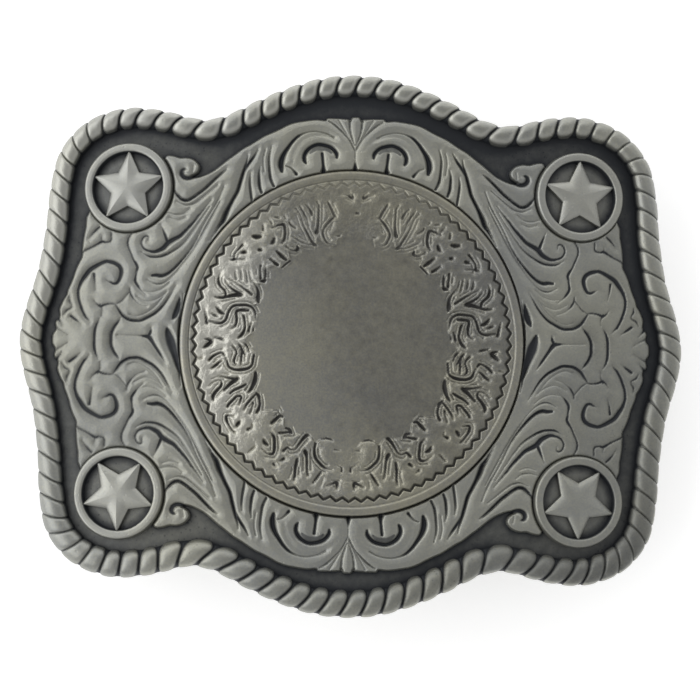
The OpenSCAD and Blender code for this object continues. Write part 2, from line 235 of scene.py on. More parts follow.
# Small pits, each round the middle of a random cell and only where a patch of noise is high.
pit_group, pit_in, pit_out = new_group(
    "Small pits", {"Pit scale": 500.0, "Patch scale": 120.0}, ["Pits"])
pit_place = object_place(pit_group)
pit_cells = add_node(pit_group, "ShaderNodeTexVoronoi", {
    "Vector": pit_place, "Scale": pit_in["Pit scale"], "Randomness": 1.0}).outputs["Distance"]
pit_round = ranged(pit_group, pit_cells, 0.04, 0.3, 1.0, 0.0, way="SMOOTHSTEP")
pit_patch = ranged(pit_group, noise(pit_group, pit_place, pit_in["Patch scale"], 2.0), 0.42, 0.6)
set_sockets(pit_group, pit_out, {"Pits": reckoned(pit_group, "MULTIPLY", pit_round, pit_patch)})


def antiqued(name, bright, lightened, black, rough, raggedness, cloud, pits, pit_scale):
    """Metal with a black finish left in its low places: the oxide mask mixes the bright and the
    black colour, roughens the metal and takes its shine; painted shade rides in the same mask. The
    cloud changes the bright colour by a few hundredths, warmer where it is lighter. Where the dark
    attribute falls below nothing, the bright colour turns to the lighter one, which stands both for
    metal worn bright and for painted light. Pits hold some of the black finish and dent the
    surface."""
    material, tree, shader = new_material(name)
    dark = add_node(tree, "ShaderNodeAttribute", attribute_name="dark").outputs["Fac"]
    pit = add_node(tree, "ShaderNodeGroup", {"Pit scale": pit_scale},
                   node_tree=pit_group).outputs["Pits"]
    wear = add_node(tree, "ShaderNodeGroup", node_tree=wear_group).outputs
    oxide_and_shade = add_node(tree, "ShaderNodeGroup", {
        "Depth": reckoned(tree, "MULTIPLY_ADD", pit, pits, dark), "Raggedness": raggedness},
        node_tree=oxide_group).outputs["Mask"]
    low, high = [tuple(part * (1 + change * warmth)
                       for part, warmth in zip(bright, (1.2, 1.05, 0.4)))
                 for change in (-cloud, cloud)]
    clouded = mixed(tree, wear["Cloud"], low, high)
    brightened = mixed(tree, ranged(tree, dark, 0.0, -1.0), clouded, lightened)
    dented = reckoned(tree, "MULTIPLY_ADD", pit, -2.0, wear["Height"])
    relief = add_node(tree, "ShaderNodeBump", {
        "Height": dented, "Distance": GRAIN_H, "Strength": 0.6})
    set_sockets(tree, shader, {
        "Base Color": mixed(tree, oxide_and_shade, brightened, black),
        "Roughness": ranged(tree, oxide_and_shade, 0.0, 1.0, *rough),
        "Metallic": ranged(tree, oxide_and_shade, 0.0, 1.0, 0.95, 0.45),
        "Normal": relief.outputs[0]})
    return material


casting = antiqued("antiqued_casting", bright=(0.372, 0.375, 0.34), lightened=(0.6, 0.6, 0.555),
                   black=(0.023, 0.026, 0.031), rough=(0.46, 0.56), raggedness=0.22, cloud=0.09,
                   pits=0.12, pit_scale=1500.0)


def finish_piece(piece, material=casting, node="cast_face"):
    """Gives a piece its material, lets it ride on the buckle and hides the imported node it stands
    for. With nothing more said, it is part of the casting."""
    piece.data.materials.append(material)
    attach(piece, "root")
    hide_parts(node)


bed_radii = np.array([0, 8, 16, 22, 24.2, SEAT_R])
seat_radius = np.concatenate([bed_radii, [SEAT_R, SEAT_R], bed_radii[::-1]])
seat_height = np.concatenate([0 * bed_radii, [-0.4, -1.6], 0 * bed_radii - PLATE_T])
finish_piece(round_piece("medallion_seat", seat_radius, seat_height, 0 * seat_radius + BACK_DARK,
                         SEAT_COLUMNS))

# Scrollwork of the face
# The raised leaves and volutes are cast with the plate and stand on a sunk ground. Their lines are
# cut narrow and deep, and one side of a line dips where a leaf runs under its neighbour. The
# quarters are alike, but for a few cuts beside the medallion.
CAMERA_FAR = 200.0
CHART_SCALE = 0.975
SHELF_H = 0.86
SHOULDER_W = 0.42
CROWN_H = 0.3
CROWN_RUN = 0.7
DIP_H = 0.26
DIP_RUN = 0.9
LINE_DEPTH = 0.5
LINE_STEPS = 4
LINE_END = 1.5
BORDER_STEPS = 3
GROUND_DARK = 0.69
FOOT_DARK = 0.3
FOOT_RUN = 0.4
LIP_DARK = 0.16
LIP_RUN = 0.3
LINE_DARK = 0.95
RING_R = 6.65
RING_LAP = 0.08
SEAT_LAP = 0.06
EDGE_STEPS = 12
UNDER_ROPE = 2.7
WALL_IN = 0.75
ROPE_LAP = 1.0
ROPE_SHADE = 0.34
SHADE_RUN = 0.8
LEFT_PAINTED_LIGHT = 0.12
QUARTER_STEPS = 424
FRONT_ROWS = 168
BACK_ROWS = 13


def seated(rows):
    """Chart rows brought to real places. A chart holds places as seen from the front, where the
    middle of the bow is nearer, so they are scaled by one plus x squared over twice the bow's
    radius times the camera's distance."""
    rows = np.array(rows, float)
    scale = CHART_SCALE * (1 + rows[:, 0] ** 2 / (2 * BOW_R * CAMERA_FAR))
    rows[:, :2] *= scale[:, None]
    return rows


def bent(rows, steps, closed=False):
    """A smooth curve through rows of numbers: each stretch is the Catmull-Rom cubic of its four
    nearest rows."""
    rows = np.array(rows, float)
    count = len(rows)
    if closed:
        around = [np.roll(rows, shift, axis=0) for shift in (1, 0, -1, -2)]
    else:
        padded = np.concatenate([rows[:1], rows, rows[-1:]])
        around = [padded[k:k + count - 1] for k in range(4)]
    a, b, c, d = [part[:, None, :] for part in around]
    t = (np.arange(steps) / steps)[None, :, None]
    curve = (b + (c - a) * t / 2 + (2 * a - 5 * b + 4 * c - d) * t ** 2 / 2 +
             (3 * b - a - 3 * c + d) * t ** 3 / 2)
    curve = curve.reshape(-1, rows.shape[1])
    return curve if closed else np.concatenate([curve, rows[-1:]])


def run_along(line):
    """How far along its line each row lies."""
    return np.concatenate([[0], np.cumsum(np.hypot(*np.diff(line[:, :2], axis=0).T))])


def smooth_step(low, high, value):
    """Rises from 0 at low to 1 at high along three t squared minus two t cubed."""
    t = np.clip((value - low) / (high - low), 0, 1)
    return t * t * (3 - 2 * t)


def shoulder(share):
    """Rises as a quarter of a circle while share goes from 0 to 1."""
    return np.sqrt(1 - (1 - np.clip(share, 0, 1)) ** 2)


def nearest(x, y, line):
    """For each point, its distance from a line of rows (x, y, then further values), those values
    at the nearest place, and the side it lies on, 1 for left and -1 for right, all from the nearest
    straight stretch."""
    start, along = line[:-1], np.diff(line, axis=0)
    length_2 = np.maximum((along[:, :2] ** 2).sum(1), 1e-12)
    rx, ry = x[:, None] - start[:, 0], y[:, None] - start[:, 1]
    t = np.clip((rx * along[:, 0] + ry * along[:, 1]) / length_2, 0, 1)
    gap = np.hypot(rx - t * along[:, 0], ry - t * along[:, 1])
    best = gap.argmin(1)
    row = np.arange(len(x))
    values = start[best, 2:] + t[row, best, None] * along[best, 2:]
    side = np.sign(along[best, 0] * ry[row, best] - along[best, 1] * rx[row, best])
    return gap[row, best], values, side


def carve(x, y, lines, depth_of, reach=2.5):
    """What a set of cut lines does at each point: the depth of the cut, a bell curve of the
    distance from its line, the distance from the nearest line's edge, the dip of the softer side,
    and how black the cut is there. Each line works only on points within reach of it, and where two
    lines meet the stronger one counts. The charts give the dark band that shows, and the cut itself
    is narrower, since its walls look dark too. The dip fades out towards both ends of its line."""
    depth, gap, dip, inside = np.zeros((4,) + x.shape)
    gap += reach
    for lean, rows in lines:
        line = bent(rows, LINE_STEPS)
        run = run_along(line)
        line = np.column_stack([line, smooth_step(0, LINE_END, np.minimum(run, run[-1] - run))])
        low, high = line[:, :2].min(0) - reach, line[:, :2].max(0) + reach
        near = np.flatnonzero((x > low[0]) & (x < high[0]) & (y > low[1]) & (y < high[1]))
        if not len(near):
            continue
        far, values, side = nearest(x[near], y[near], line)
        band, fade = values.T
        width = np.maximum(0.74 * band + 0.18 * band ** 2 - 0.06, 0.04)
        beyond = np.maximum(far - width / 2, 0)
        bell = np.exp(-1.9 * (far / (width / 2 + 0.1)) ** 2)
        soft = np.where(side == lean, np.exp(-beyond / DIP_RUN), 0) * np.minimum(width / 0.3, 1)
        black = 1 - smooth_step(0.45, 1.1, far / (width / 2 + 0.07))
        depth[near] = np.maximum(depth[near], depth_of(width) * bell)
        gap[near] = np.minimum(gap[near], beyond)
        dip[near] = np.maximum(dip[near], soft * fade)
        inside[near] = np.maximum(inside[near], black * np.minimum(0.25 + 2.6 * width, 1))
    return depth, gap, dip, inside


CONCHO = seated([(33.4, 22.55)])[0]
# Outer edge of the buckle in one quarter: columns are x, y
EDGE_CHART = [
    (48.9, 0), (48.3, 4.2), (46.6, 10.3), (45.65, 16.7), (45.2, 22.5), (43.9, 28.1), (40.2, 32.5),
    (34.7, 34.7), (29, 34.5), (23.2, 33.2), (19.5, 33.8), (14.9, 36.1), (10.2, 38.2), (5.2, 39.75),
    (0, 40.26)]
# Edge of the raised work in one quarter, which runs under the concho's ring: columns are x, y
SCROLL_CHART = [
    (43.93, -0.8), (44.03, 0), (43.93, 0.8), (43.5, 1.5), (43.65, 2.5), (43.05, 3.3), (43.14, 4.3),
    (42.95, 5), (42.5, 6), (42.16, 6.5), (42, 7.3), (41.7, 8), (41.32, 9), (41.04, 10), (40.67, 11),
    (40.1, 12.2), (40.1, 13), (40, 14.8), (39.7, 16.6), (39.2, 19), (35, 22.5), (29.2, 25.5),
    (28.2, 27.4), (27, 27.5), (26, 27.2), (25, 27.25), (24.05, 27), (23.4, 26.5), (23.05, 25.85),
    (23.15, 25.3), (23.5, 24.85), (24.3, 24.35), (23.3, 24.3), (22, 24.8), (21, 25.35), (20, 26.15),
    (19, 27), (18, 27.75), (16.8, 28.7), (15.6, 29.4), (14.7, 30), (13.6, 30.7), (12.5, 31.2),
    (11.3, 31.8), (10.2, 32.4), (9.1, 32.8), (7.9, 33.03), (6.8, 33.2), (5.7, 33.3), (4.5, 33.2),
    (4.1, 33.56), (1.1, 33.45), (0.9, 33.1), (0.6, 33.7), (0, 33.8), (-0.6, 33.7)]
# Cut lines in one quarter: the side that dips, 1 for left, -1 for right or 0, then rows of x, y
# and width
SCROLL_LINES = [
    # Side volute with its short branch
    (0, [(38.4, 2.4, 0.1), (38.75, 2.8, 0.3), (39.17, 3.27, 0.45), (39.64, 4.1, 0.5),
         (40, 5.04, 0.5), (40.29, 5.97, 0.5), (40.39, 6.9, 0.5), (40.29, 7.65, 0.55),
         (39.92, 8.59, 0.7), (39.45, 9.33, 0.85), (38.8, 10.2, 0.9), (37.87, 10.83, 0.8),
         (37, 11.3, 0.7), (36.36, 11.5, 0.65), (35.7, 11.4, 0.7), (35.1, 11.2, 0.75),
         (34.5, 10.8, 0.8), (34.2, 10.2, 0.8), (34.2, 9.6, 0.75), (34.4, 8.85, 0.65),
         (34.76, 8.3, 0.55), (35.2, 8.2, 0.45), (35.7, 8.4, 0.35), (36.15, 8.64, 0.12)]),
    (0, [(38.15, 9.6, 0.45), (38, 8.4, 0.3), (37.77, 7.28, 0.1)]),
    # Fork under the volute, and the husk round the side's middle
    (0, [(37.95, 5.7, 0.12), (37.6, 5.2, 0.3), (37, 4.8, 0.45), (36.6, 5, 0.4), (35.9, 5.17, 0.35),
         (35.1, 5.2, 0.3), (34.7, 5.1, 0.25)]),
    (0, [(37.1, 5, 0.4), (36.75, 4.3, 0.25), (36.75, 3.4, 0.1)]),
    (0, [(34.8, 5.1, 0.2), (34, 5.6, 0.28), (33.4, 6.3, 0.25), (32.8, 7, 0.3)]),
    (0, [(37.05, 3, 0.15), (37.4, 2.4, 0.35), (37.65, 1.7, 0.45), (37.77, 0.93, 0.5),
         (37.77, 0, 0.5), (37.77, -0.9, 0.5)]),
    (1, [(34, 3.1, 0.15), (34.4, 2.5, 0.4), (34.9, 1.8, 0.5), (35.3, 0.85, 0.6), (35.35, 0, 0.6),
         (35.3, -0.85, 0.6)]),
    # Small cuts of the side's fan
    (0, [(41.6, 6.25, 0.2), (41.6, 5.6, 0.35), (41.3, 5, 0.28), (41.3, 4.6, 0.28),
         (41.97, 4.2, 0.35), (42.35, 3.55, 0.2)]),
    (0, [(41.3, 3.35, 0.5), (40.5, 2.75, 0.4), (39.7, 2.15, 0.08)]),
    (0, [(43.2, 3, 0.5), (42.9, 2.6, 0.35), (42.4, 2, 0.08)]),
    (0, [(43.3, 1.6, 0.3), (42.4, 1.1, 0.2), (41.6, 0.6, 0.08)]),
    # Lowest leaf, its inner line, and the long wedge beside the medallion
    (-1, [(34.8, 5, 0.3), (34.4, 4.4, 0.4), (33.9, 3.6, 0.45), (33.2, 3.05, 0.5), (32.5, 2.77, 0.5),
          (31.8, 2.7, 0.5), (31, 2.77, 0.5), (30.1, 3.2, 0.5), (29, 3.84, 0.45), (28.1, 4.7, 0.4),
          (27.4, 5.65, 0.35), (26.8, 6.7, 0.28), (26.1, 7.9, 0.08)]),
    (0, [(32.6, 3.7, 0.06), (31.5, 3.45, 0.14), (30.3, 3.9, 0.16), (29.2, 4.7, 0.16),
         (28.4, 5.6, 0.14), (27.5, 6.9, 0.06)]),
    (0, [(24.85, 6.8, 0.08), (25.15, 5.2, 0.3), (25.4, 2.6, 0.35), (25.45, 0, 0.35),
         (25.4, -1.8, 0.35)]),
    # Divider between the volute and the leaves
    (0, [(32.84, 15.68, 0.3), (33.27, 14.83, 0.36), (33.32, 13.97, 0.36), (33.1, 13.33, 0.34),
         (32.73, 12.48, 0.34), (32.4, 11.73, 0.36), (31.99, 11.1, 0.5), (31.8, 10.56, 0.5),
         (31.93, 10, 0.36), (32.02, 9.2, 0.4), (32.04, 8.53, 0.5), (31.67, 7.9, 0.45),
         (31.2, 7.3, 0.25), (30.4, 6.6, 0.08)]),
    (0, [(32.8, 7.5, 0.25), (32.75, 6.9, 0.35), (32.4, 6.2, 0.35), (32, 5.76, 0.25),
         (31.3, 5.2, 0.15), (30.2, 4.8, 0.06)]),
    (0, [(31, 7.15, 0.1), (29.5, 7, 0.14), (28.1, 7.5, 0.14), (27, 8.4, 0.06)]),
    (0, [(31.7, 6.3, 0.1), (30.1, 5.6, 0.12), (28.5, 6.1, 0.12), (27.4, 7, 0.06)]),
    # Cuts under the concho's ring
    (0, [(37.6, 16.6, 0.4), (38.4, 15.8, 0.35), (39, 14.9, 0.12)]),
    (0, [(35.8, 15.7, 0.3), (35.85, 14.6, 0.35), (36.5, 14.35, 0.35), (37.2, 14.4, 0.45),
         (38.4, 13.7, 0.35), (39.6, 13.1, 0.35), (40.2, 12.7, 0.3)]),
    (0, [(37.2, 14.4, 0.4), (37.1, 15.1, 0.1)]),
    # Second leaf with its two lower lines and the long thin line beside it
    (-1, [(29.6, 9.45, 0.5), (28.9, 9.5, 0.65), (28.3, 9.4, 0.65), (27.7, 9.55, 0.6),
          (27.1, 9.9, 0.5), (26.3, 10.6, 0.45), (25.5, 11.5, 0.4), (24.7, 12.5, 0.35),
          (24, 13.5, 0.3), (23.2, 14.9, 0.25), (22.3, 16.9, 0.2), (21.3, 18.8, 0.2),
          (20.3, 20.6, 0.2), (19.4, 22.9, 0.08)]),
    (0, [(30.2, 8.75, 0.15), (29.3, 8.3, 0.25), (28.5, 8.2, 0.3), (27.7, 8.5, 0.25),
         (26.8, 9.2, 0.15), (25.6, 10.5, 0.06)]),
    (0, [(25.9, 10.2, 0.06), (24.9, 11.6, 0.2), (23.8, 13.2, 0.22), (22.7, 15.1, 0.22),
         (21.7, 17.1, 0.22), (20.7, 19, 0.2), (19.9, 20.6, 0.08)]),
    # Middle volute, its wedge, its spur and the line under it
    (0, [(30.3, 14.6, 0.15), (30.35, 15.2, 0.3), (30.9, 15.25, 0.35), (31.35, 14.5, 0.35),
         (31.2, 13.8, 0.35), (30.8, 13.35, 0.4), (30.2, 13.1, 0.45), (29.4, 13, 0.6),
         (28.6, 13.3, 0.8), (28, 13.7, 0.9), (27.4, 14.4, 0.95), (26.6, 14.9, 0.8),
         (25.7, 15.4, 0.65), (25, 16.1, 0.55), (24, 17.2, 0.45), (23, 18.5, 0.35),
         (22.2, 19.5, 0.25), (21.2, 20.8, 0.08)]),
    (0, [(28.5, 17, 0.08), (28.1, 16, 0.35), (27.7, 15, 0.55), (27.5, 14.5, 0.7)]),
    (-1, [(31.2, 12.9, 0.12), (30.2, 12.3, 0.35), (29.3, 12.2, 0.4), (28.4, 12.3, 0.4),
          (27.6, 12.6, 0.4), (26.9, 13, 0.35), (25.8, 13.75, 0.3), (24.9, 14.6, 0.25),
          (23.8, 16.1, 0.2), (22.6, 17.9, 0.16), (21.4, 19.8, 0.06)]),
    # Upper leaves, and the small volute beside the concho
    (-1, [(27, 22.4, 0.3), (26.3, 21.5, 0.4), (25.6, 20.85, 0.5), (24.8, 20.7, 0.5),
          (24, 21.1, 0.45), (23.2, 21.7, 0.45), (22.2, 22.5, 0.45), (21.2, 23.5, 0.42),
          (20.3, 24.4, 0.38), (19.6, 25.05, 0.3), (19.1, 25.45, 0.1)]),
    (0, [(26.2, 20.5, 0.08), (25, 20.05, 0.22), (23.8, 20.3, 0.25), (22.8, 21, 0.22),
         (21.6, 22, 0.18), (20.3, 23.1, 0.06)]),
    (0, [(27.6, 18.9, 0.15), (26.4, 18.6, 0.2), (25.2, 18.8, 0.2), (24.3, 19.5, 0.08)]),
    (0, [(27.2, 18.1, 0.08), (26, 17.8, 0.16), (24.9, 18.2, 0.08)]),
    (0, [(23.6, 24.4, 0.4), (24.3, 24.15, 0.65), (25, 24.1, 0.75), (25.5, 24.35, 0.8),
         (25.75, 24.8, 0.8), (25.65, 25.25, 0.65), (25.3, 25.45, 0.4), (25.1, 25.45, 0.1)]),
    # Thin line down the middle of the small volute's bulb
    (-1, [(23.95, 25.9, 0.06), (24.05, 25.4, 0.12), (24.1, 24.9, 0.06)]),
    # Long stem up past the medallion, with its side lines
    (1, [(16, 27.6, 0.1), (16.1, 26.6, 0.3), (16.4, 25.6, 0.4), (16.9, 23.8, 0.5),
         (17.3, 22.3, 0.5), (17.9, 21.1, 0.5), (18.5, 19.9, 0.55), (19, 18.8, 0.75),
         (19.4, 17.7, 0.7), (20, 16.8, 0.4), (21.2, 14.7, 0.12)]),
    (0, [(14.5, 28.5, 0.08), (15.1, 27.4, 0.35), (15.8, 26.4, 0.45), (16.3, 25.5, 0.35),
         (16.9, 24.2, 0.2)]),
    (0, [(15.5, 24.9, 0.08), (15.6, 23.8, 0.3), (15.5, 22.6, 0.35), (15.3, 21.3, 0.35),
         (15.2, 20.7, 0.3)]),
    (1, [(14.1, 25.9, 0.08), (14.25, 24.9, 0.3), (14.1, 23, 0.4), (13.8, 22, 0.35)]),
    (1, [(12.5, 29, 0.08), (12.8, 27.5, 0.25), (12.75, 26, 0.3), (12.5, 24.2, 0.35),
         (12, 23, 0.35)]),
    (0, [(13.4, 28.5, 0.06), (13.7, 27, 0.14), (13.5, 25.2, 0.06)]),
    # Top scroll: its wedge, crescent with the pocket under it, stem, foot and small outer leaf
    (0, [(3.2, 30.5, 0.04), (4.2, 31.05, 0.06), (5.4, 31.35, 0.08), (6.5, 31.4, 0.1),
         (7.7, 31.1, 0.2), (8.6, 30.6, 0.4), (9.4, 29.8, 0.5), (10.1, 28.8, 0.6), (10.6, 28, 0.75),
         (10.95, 27.1, 0.95), (11.05, 26.2, 0.95), (10.9, 25.3, 0.5)]),
    (0, [(2.75, 27.5, 0.35), (2.8, 28.1, 0.6), (3.3, 28.75, 0.65), (4, 29.2, 0.65), (5, 29.45, 0.6),
         (5.7, 29.45, 0.6), (6.5, 29.1, 0.65), (7.2, 28.5, 0.7), (7.6, 27.7, 0.65), (7.55, 27, 0.6),
         (7.35, 26.6, 0.35)]),
    (0, [(4.95, 28.1, 0.42), (4.85, 27.3, 0.42), (4.75, 26.4, 0.42), (4.7, 25.8, 0.6),
         (4.7, 25.35, 0.9)]),
    (0, [(0, 27.1, 0.1), (0, 26.5, 0.35), (0, 26, 0.6), (0, 25.6, 0.9), (0, 25.3, 1.2)]),
    (0, [(8.7, 24.9, 0.45), (9.2, 25.5, 0.25), (9.7, 25.9, 0.18), (10.3, 26.1, 0.08)]),
    # Fan of petals between the two top scrolls
    (0, [(4.05, 33, 0.12), (3.1, 32.4, 0.22), (2.3, 31.7, 0.22), (1.6, 31, 0.2), (1.1, 30.5, 0.2),
         (0.6, 29.7, 0.2), (0.25, 29, 0.2), (0, 28.4, 0.14), (0, 27.4, 0.1)]),
    (0, [(0.95, 33.3, 0.25), (0.9, 32.3, 0.25), (0.75, 31.3, 0.22), (0.45, 30.3, 0.2),
         (0.1, 29.4, 0.1)]),
    (0, [(2.6, 33.2, 0.08), (2, 32.2, 0.12), (1.4, 31.2, 0.1), (0.9, 30.4, 0.06)])]
# Cut lines beside the medallion that differ above and below, charted on the right
SIDE_LINES = [
    (0, [(34.4, 0.6, 0.14), (33, 0.55, 0.18), (31.3, 0.5, 0.22), (30.5, 0.45, 0.5),
         (29.8, 0.3, 0.85), (29.2, -0.5, 0.6), (28.6, -1.4, 0.5), (28, -2.3, 0.42),
         (27.3, -3.4, 0.12)]),
    (0, [(29.9, 0.4, 0.6), (29.6, 1, 0.5), (29.5, 1.7, 0.2)]),
    (0, [(27.2, 1.6, 0.5), (27, 0.8, 1.3), (26.6, -0.3, 1.7), (26.2, -1.5, 1.5), (25.8, -2.7, 1.15),
         (25.4, -4, 0.75), (25, -5.4, 0.2)]),
    (0, [(26.4, 3, 0.3), (26, 3.8, 1.1), (25.7, 4.7, 1.05), (25.4, 6.2, 0.3)])]
# Soft hollows: the band of the top scroll, and the pocket under its crescent, which kept its black
# finish. Each gives the share of black, then rows of x, y and width
SCROLL_HOLLOWS = [
    (0, [(9.3, 26.6, 0.6), (9.1, 27.8, 1.1), (8.6, 28.9, 1.2), (7.8, 29.9, 1.2), (6.7, 30.5, 1.2),
         (5.5, 30.7, 1.2), (4.2, 30.6, 1.2), (3, 30.2, 1.1), (2, 29.5, 0.9), (1.4, 28.6, 0.6)]),
    (0.62, [(3.6, 28.2, 0.5), (4.3, 28.75, 0.95), (5.1, 28.95, 1.25), (5.9, 28.75, 1.05),
            (6.7, 28.1, 0.5)])]
# Rim of the plate under the rope: how far each row lies inside the wall, and its height
RIM_ROWS = [(0.1, -0.05), (0, -0.2), (0, 0.35 - PLATE_T), (0.1, 0.1 - PLATE_T), (0.3, -PLATE_T)]

edge_rows = EDGE_CHART + [(-x, y) for x, y in EDGE_CHART[-2::-1]]
edge_rows += [(-x, -y) for x, y in EDGE_CHART[1:]] + [(x, -y) for x, y in EDGE_CHART[-2:0:-1]]
edge_line = bent(seated(edge_rows), EDGE_STEPS, closed=True)[::-1]
edge_line = np.concatenate([edge_line, edge_line[:1]])
edge_run = run_along(edge_line)
edge_length = edge_run[-1]


def on_edge(run):
    """The point reached by going clockwise along the rope's outer edge from its right end."""
    run = np.mod(run, edge_length)
    return np.stack([np.interp(run, edge_run, part) for part in edge_line.T], -1)


def edge_place(run, inward, step=0.9):
    """The point at a run along the outer edge, then straight in from it. The edge's direction is
    that from one step behind to one step ahead."""
    ahead = on_edge(run + step) - on_edge(run - step)
    ahead /= np.linalg.norm(ahead, axis=-1, keepdims=True)
    inwards = np.stack([ahead[..., 1], -ahead[..., 0]], -1)
    return on_edge(run) + inwards * np.asarray(inward)[..., None]


def polar_reach(angle, inward, count=1440):
    """How far out a line inside the rope's outer edge lies, in each direction from the middle."""
    ring = edge_place(np.linspace(0, edge_length, count, endpoint=False), np.full(count, inward))
    turn = np.arctan2(ring[:, 1], ring[:, 0])
    order = turn.argsort()
    return np.interp(angle, turn[order], np.hypot(*ring[order].T), period=2 * np.pi)


def inside_of(x, y, loop):
    """True for points inside a closed line: a ray to the right crosses it an odd number of
    times."""
    ax, ay = loop[:, 0], loop[:, 1]
    bx, by = np.roll(ax, -1), np.roll(ay, -1)
    spans = (ay > y[:, None]) != (by > y[:, None])
    crossing = ax + (y[:, None] - ay) * (bx - ax) / np.where(by == ay, 1e-9, by - ay)
    return (spans & (x[:, None] < crossing)).sum(1) % 2 == 1


def line_depth(width):
    """Depth of a cut in the scrollwork: it grows with the cut's width up to a limit."""
    return LINE_DEPTH * np.minimum(0.2 + 1.3 * width, 1.1)


def hollow_depth(width):
    """Depth of a soft hollow, which grows a little faster than its width."""
    return 0.13 * width ** 1.5


def scroll_surface(x, y, half):
    """Height of the cast face over its ground, and its darkness. The raised work is a shelf with a
    rounded shoulder, crowned away from its lines, and less what the lines and the soft hollows cut.
    All quarters fold onto one, but for the few lines beside the medallion, where half is 1 for the
    upper and -1 for the lower ones. The relief is flatter towards the two sides and darker there,
    more so in the lower half, and the ground is blackest at the foot of the shoulder and a little
    darker in the upper half."""
    side_lines = [(lean, seated(rows) * (1, half, 1)) for lean, rows in SIDE_LINES]
    side_found = carve(np.abs(x), y, side_lines, line_depth)
    x, y = np.abs(x), np.abs(y)
    found = carve(x, y, [(lean, seated(rows)) for lean, rows in SCROLL_LINES], line_depth)
    depth, dip, inside = [np.maximum(found[k], side_found[k]) for k in (0, 2, 3)]
    stain = 0 * x
    for black, rows in SCROLL_HOLLOWS:
        hollow, _, _, covered = carve(x, y, [(0, seated(rows))], hollow_depth)
        depth += hollow
        stain = np.maximum(stain, black * covered)
    border = bent(seated(SCROLL_CHART), BORDER_STEPS)
    gap = nearest(x, y, border)[0]
    closed = np.concatenate([border, [[-1, 0], [-1, -1], [50, -1]]])
    inward = np.where(inside_of(x, y, closed), gap, -gap)
    from_ring = np.hypot(x - CONCHO[0], y - CONCHO[1]) - RING_R
    from_seat = np.hypot(x, y) - SEAT_R
    inward = np.minimum.reduce([inward, from_ring + RING_LAP, from_seat + SEAT_LAP])
    shelf = shoulder(inward / SHOULDER_W + 0.12)
    near = np.minimum(np.minimum(found[1], side_found[1]), np.maximum(inward, 0))
    crown = CROWN_H * (1 - np.exp(-near / CROWN_RUN))
    flatter = 1 - 0.4 * smooth_step(20, 31, x)
    height = shelf * (SHELF_H + (crown - DIP_H * dip - depth) * flatter)
    half = half * smooth_step(0, 12, y)
    foot = GROUND_DARK + 0.05 * half + FOOT_DARK * np.exp(-np.maximum(-inward, 0) / FOOT_RUN)
    ground = foot * (1 - smooth_step(0.1, 0.85, shelf))
    added_dark = 0.1 + (0.15 - 0.06 * half) * smooth_step(27, 34, x)
    raised = added_dark + LIP_DARK * np.exp(-near / LIP_RUN) + LIP_DARK * dip
    return height, np.maximum.reduce([ground, LINE_DARK * inside, stain, raised])


def quarter_grid(half):
    """One quarter of the casting, of the upper or the lower half, as a closed ring of rows: from
    the seat out over the front to under the rope, down the rim's wall, and back in under the plate.
    A column is a direction from the middle, with one more on each side that only serves the
    normals. The ground darkens towards the rope."""
    angle = np.linspace(0, np.pi / 2, QUARTER_STEPS + 1)
    angle = np.concatenate([[-angle[1]], angle, [np.pi / 2 + angle[1]]])
    under_rope, wall = polar_reach(angle, UNDER_ROPE), polar_reach(angle, WALL_IN)
    front = SEAT_R + (under_rope - SEAT_R)[:, None] * np.linspace(0, 1, FRONT_ROWS)
    behind = [(under_rope * (1 - share) + wall * share, 0) for share in (0.35, 0.7)]
    behind += [(wall - inset, level) for inset, level in RIM_ROWS]
    behind += [(SEAT_R + (wall - RIM_ROWS[-1][0] - SEAT_R) * share, -PLATE_T)
               for share in np.linspace(1, 0, BACK_ROWS + 1)[1:]]
    radius = np.concatenate([front, np.stack([row for row, _ in behind], 1)], 1)
    x, y = radius * np.cos(angle)[:, None], radius * np.sin(angle)[:, None]
    height, dark = np.zeros((2,) + x.shape)
    on_front = np.s_[:, :FRONT_ROWS]
    found = scroll_surface(x[on_front].ravel(), y[on_front].ravel(), half)
    height[on_front], dark[on_front] = [part.reshape(front.shape) for part in found]
    from_rope = np.maximum(under_rope[:, None] - front - ROPE_LAP, 0)
    dark[on_front] += ROPE_SHADE * np.exp(-from_rope / SHADE_RUN)
    height[:, FRONT_ROWS:] = [level for _, level in behind]
    dark[:, FRONT_ROWS:] = BACK_DARK
    return on_bow(x, y, height), dark


for label, side_y in (("top", 1), ("bottom", -1)):
    quarter, quarter_dark = quarter_grid(side_y)
    quarter_normals = surface_normals(quarter, along=True)
    quarter, quarter_dark = quarter[1:-1], quarter_dark[1:-1]
    quarter_faces = grid_faces(*quarter_dark.shape, along=True)
    row_numbers = np.arange(quarter_dark.shape[1])
    quarter_ends = np.stack([row_numbers[::-1], row_numbers + QUARTER_STEPS * len(row_numbers)])
    # Painted light: the left quarters are painted lighter towards the left side, where the light
    # falls.
    left_painted_light = 1 - LEFT_PAINTED_LIGHT * smooth_step(2, 25, quarter[..., 0])
    for beside, side_x, lightened in (("right_", 1, 1), ("left_", -1, left_painted_light)):
        flip = np.array([side_x, side_y, 1])
        order = side_x * side_y
        finish_piece(new_piece("face_" + beside + label, quarter * flip,
                               [quarter_faces[:, ::order], quarter_ends[:, ::order]],
                               quarter_normals * flip, quarter_dark * lightened))

# Rope edge
# A twisted rope is cast round the whole face: each strand is a cushion that leans over its
# neighbour, with the black finish left in the gaps and painted light and shade on its strands.
STRANDS = 100
STRAND_STEPS = 24
ARCH_ROWS = 17
ROPE_W = 3.4
WIDER_AT_SIDES = 0.35
WIDER_BELOW = 0.4
OUTER_INSET = 0.06
ROPE_FOOT = -0.35
ROPE_UNDER = -0.9
# Rows of the rope's flat underside, by how far they lie inside the outer edge
UNDERSIDE = np.array([3.2, 2.5, 1.7, 0.9, 0.2])
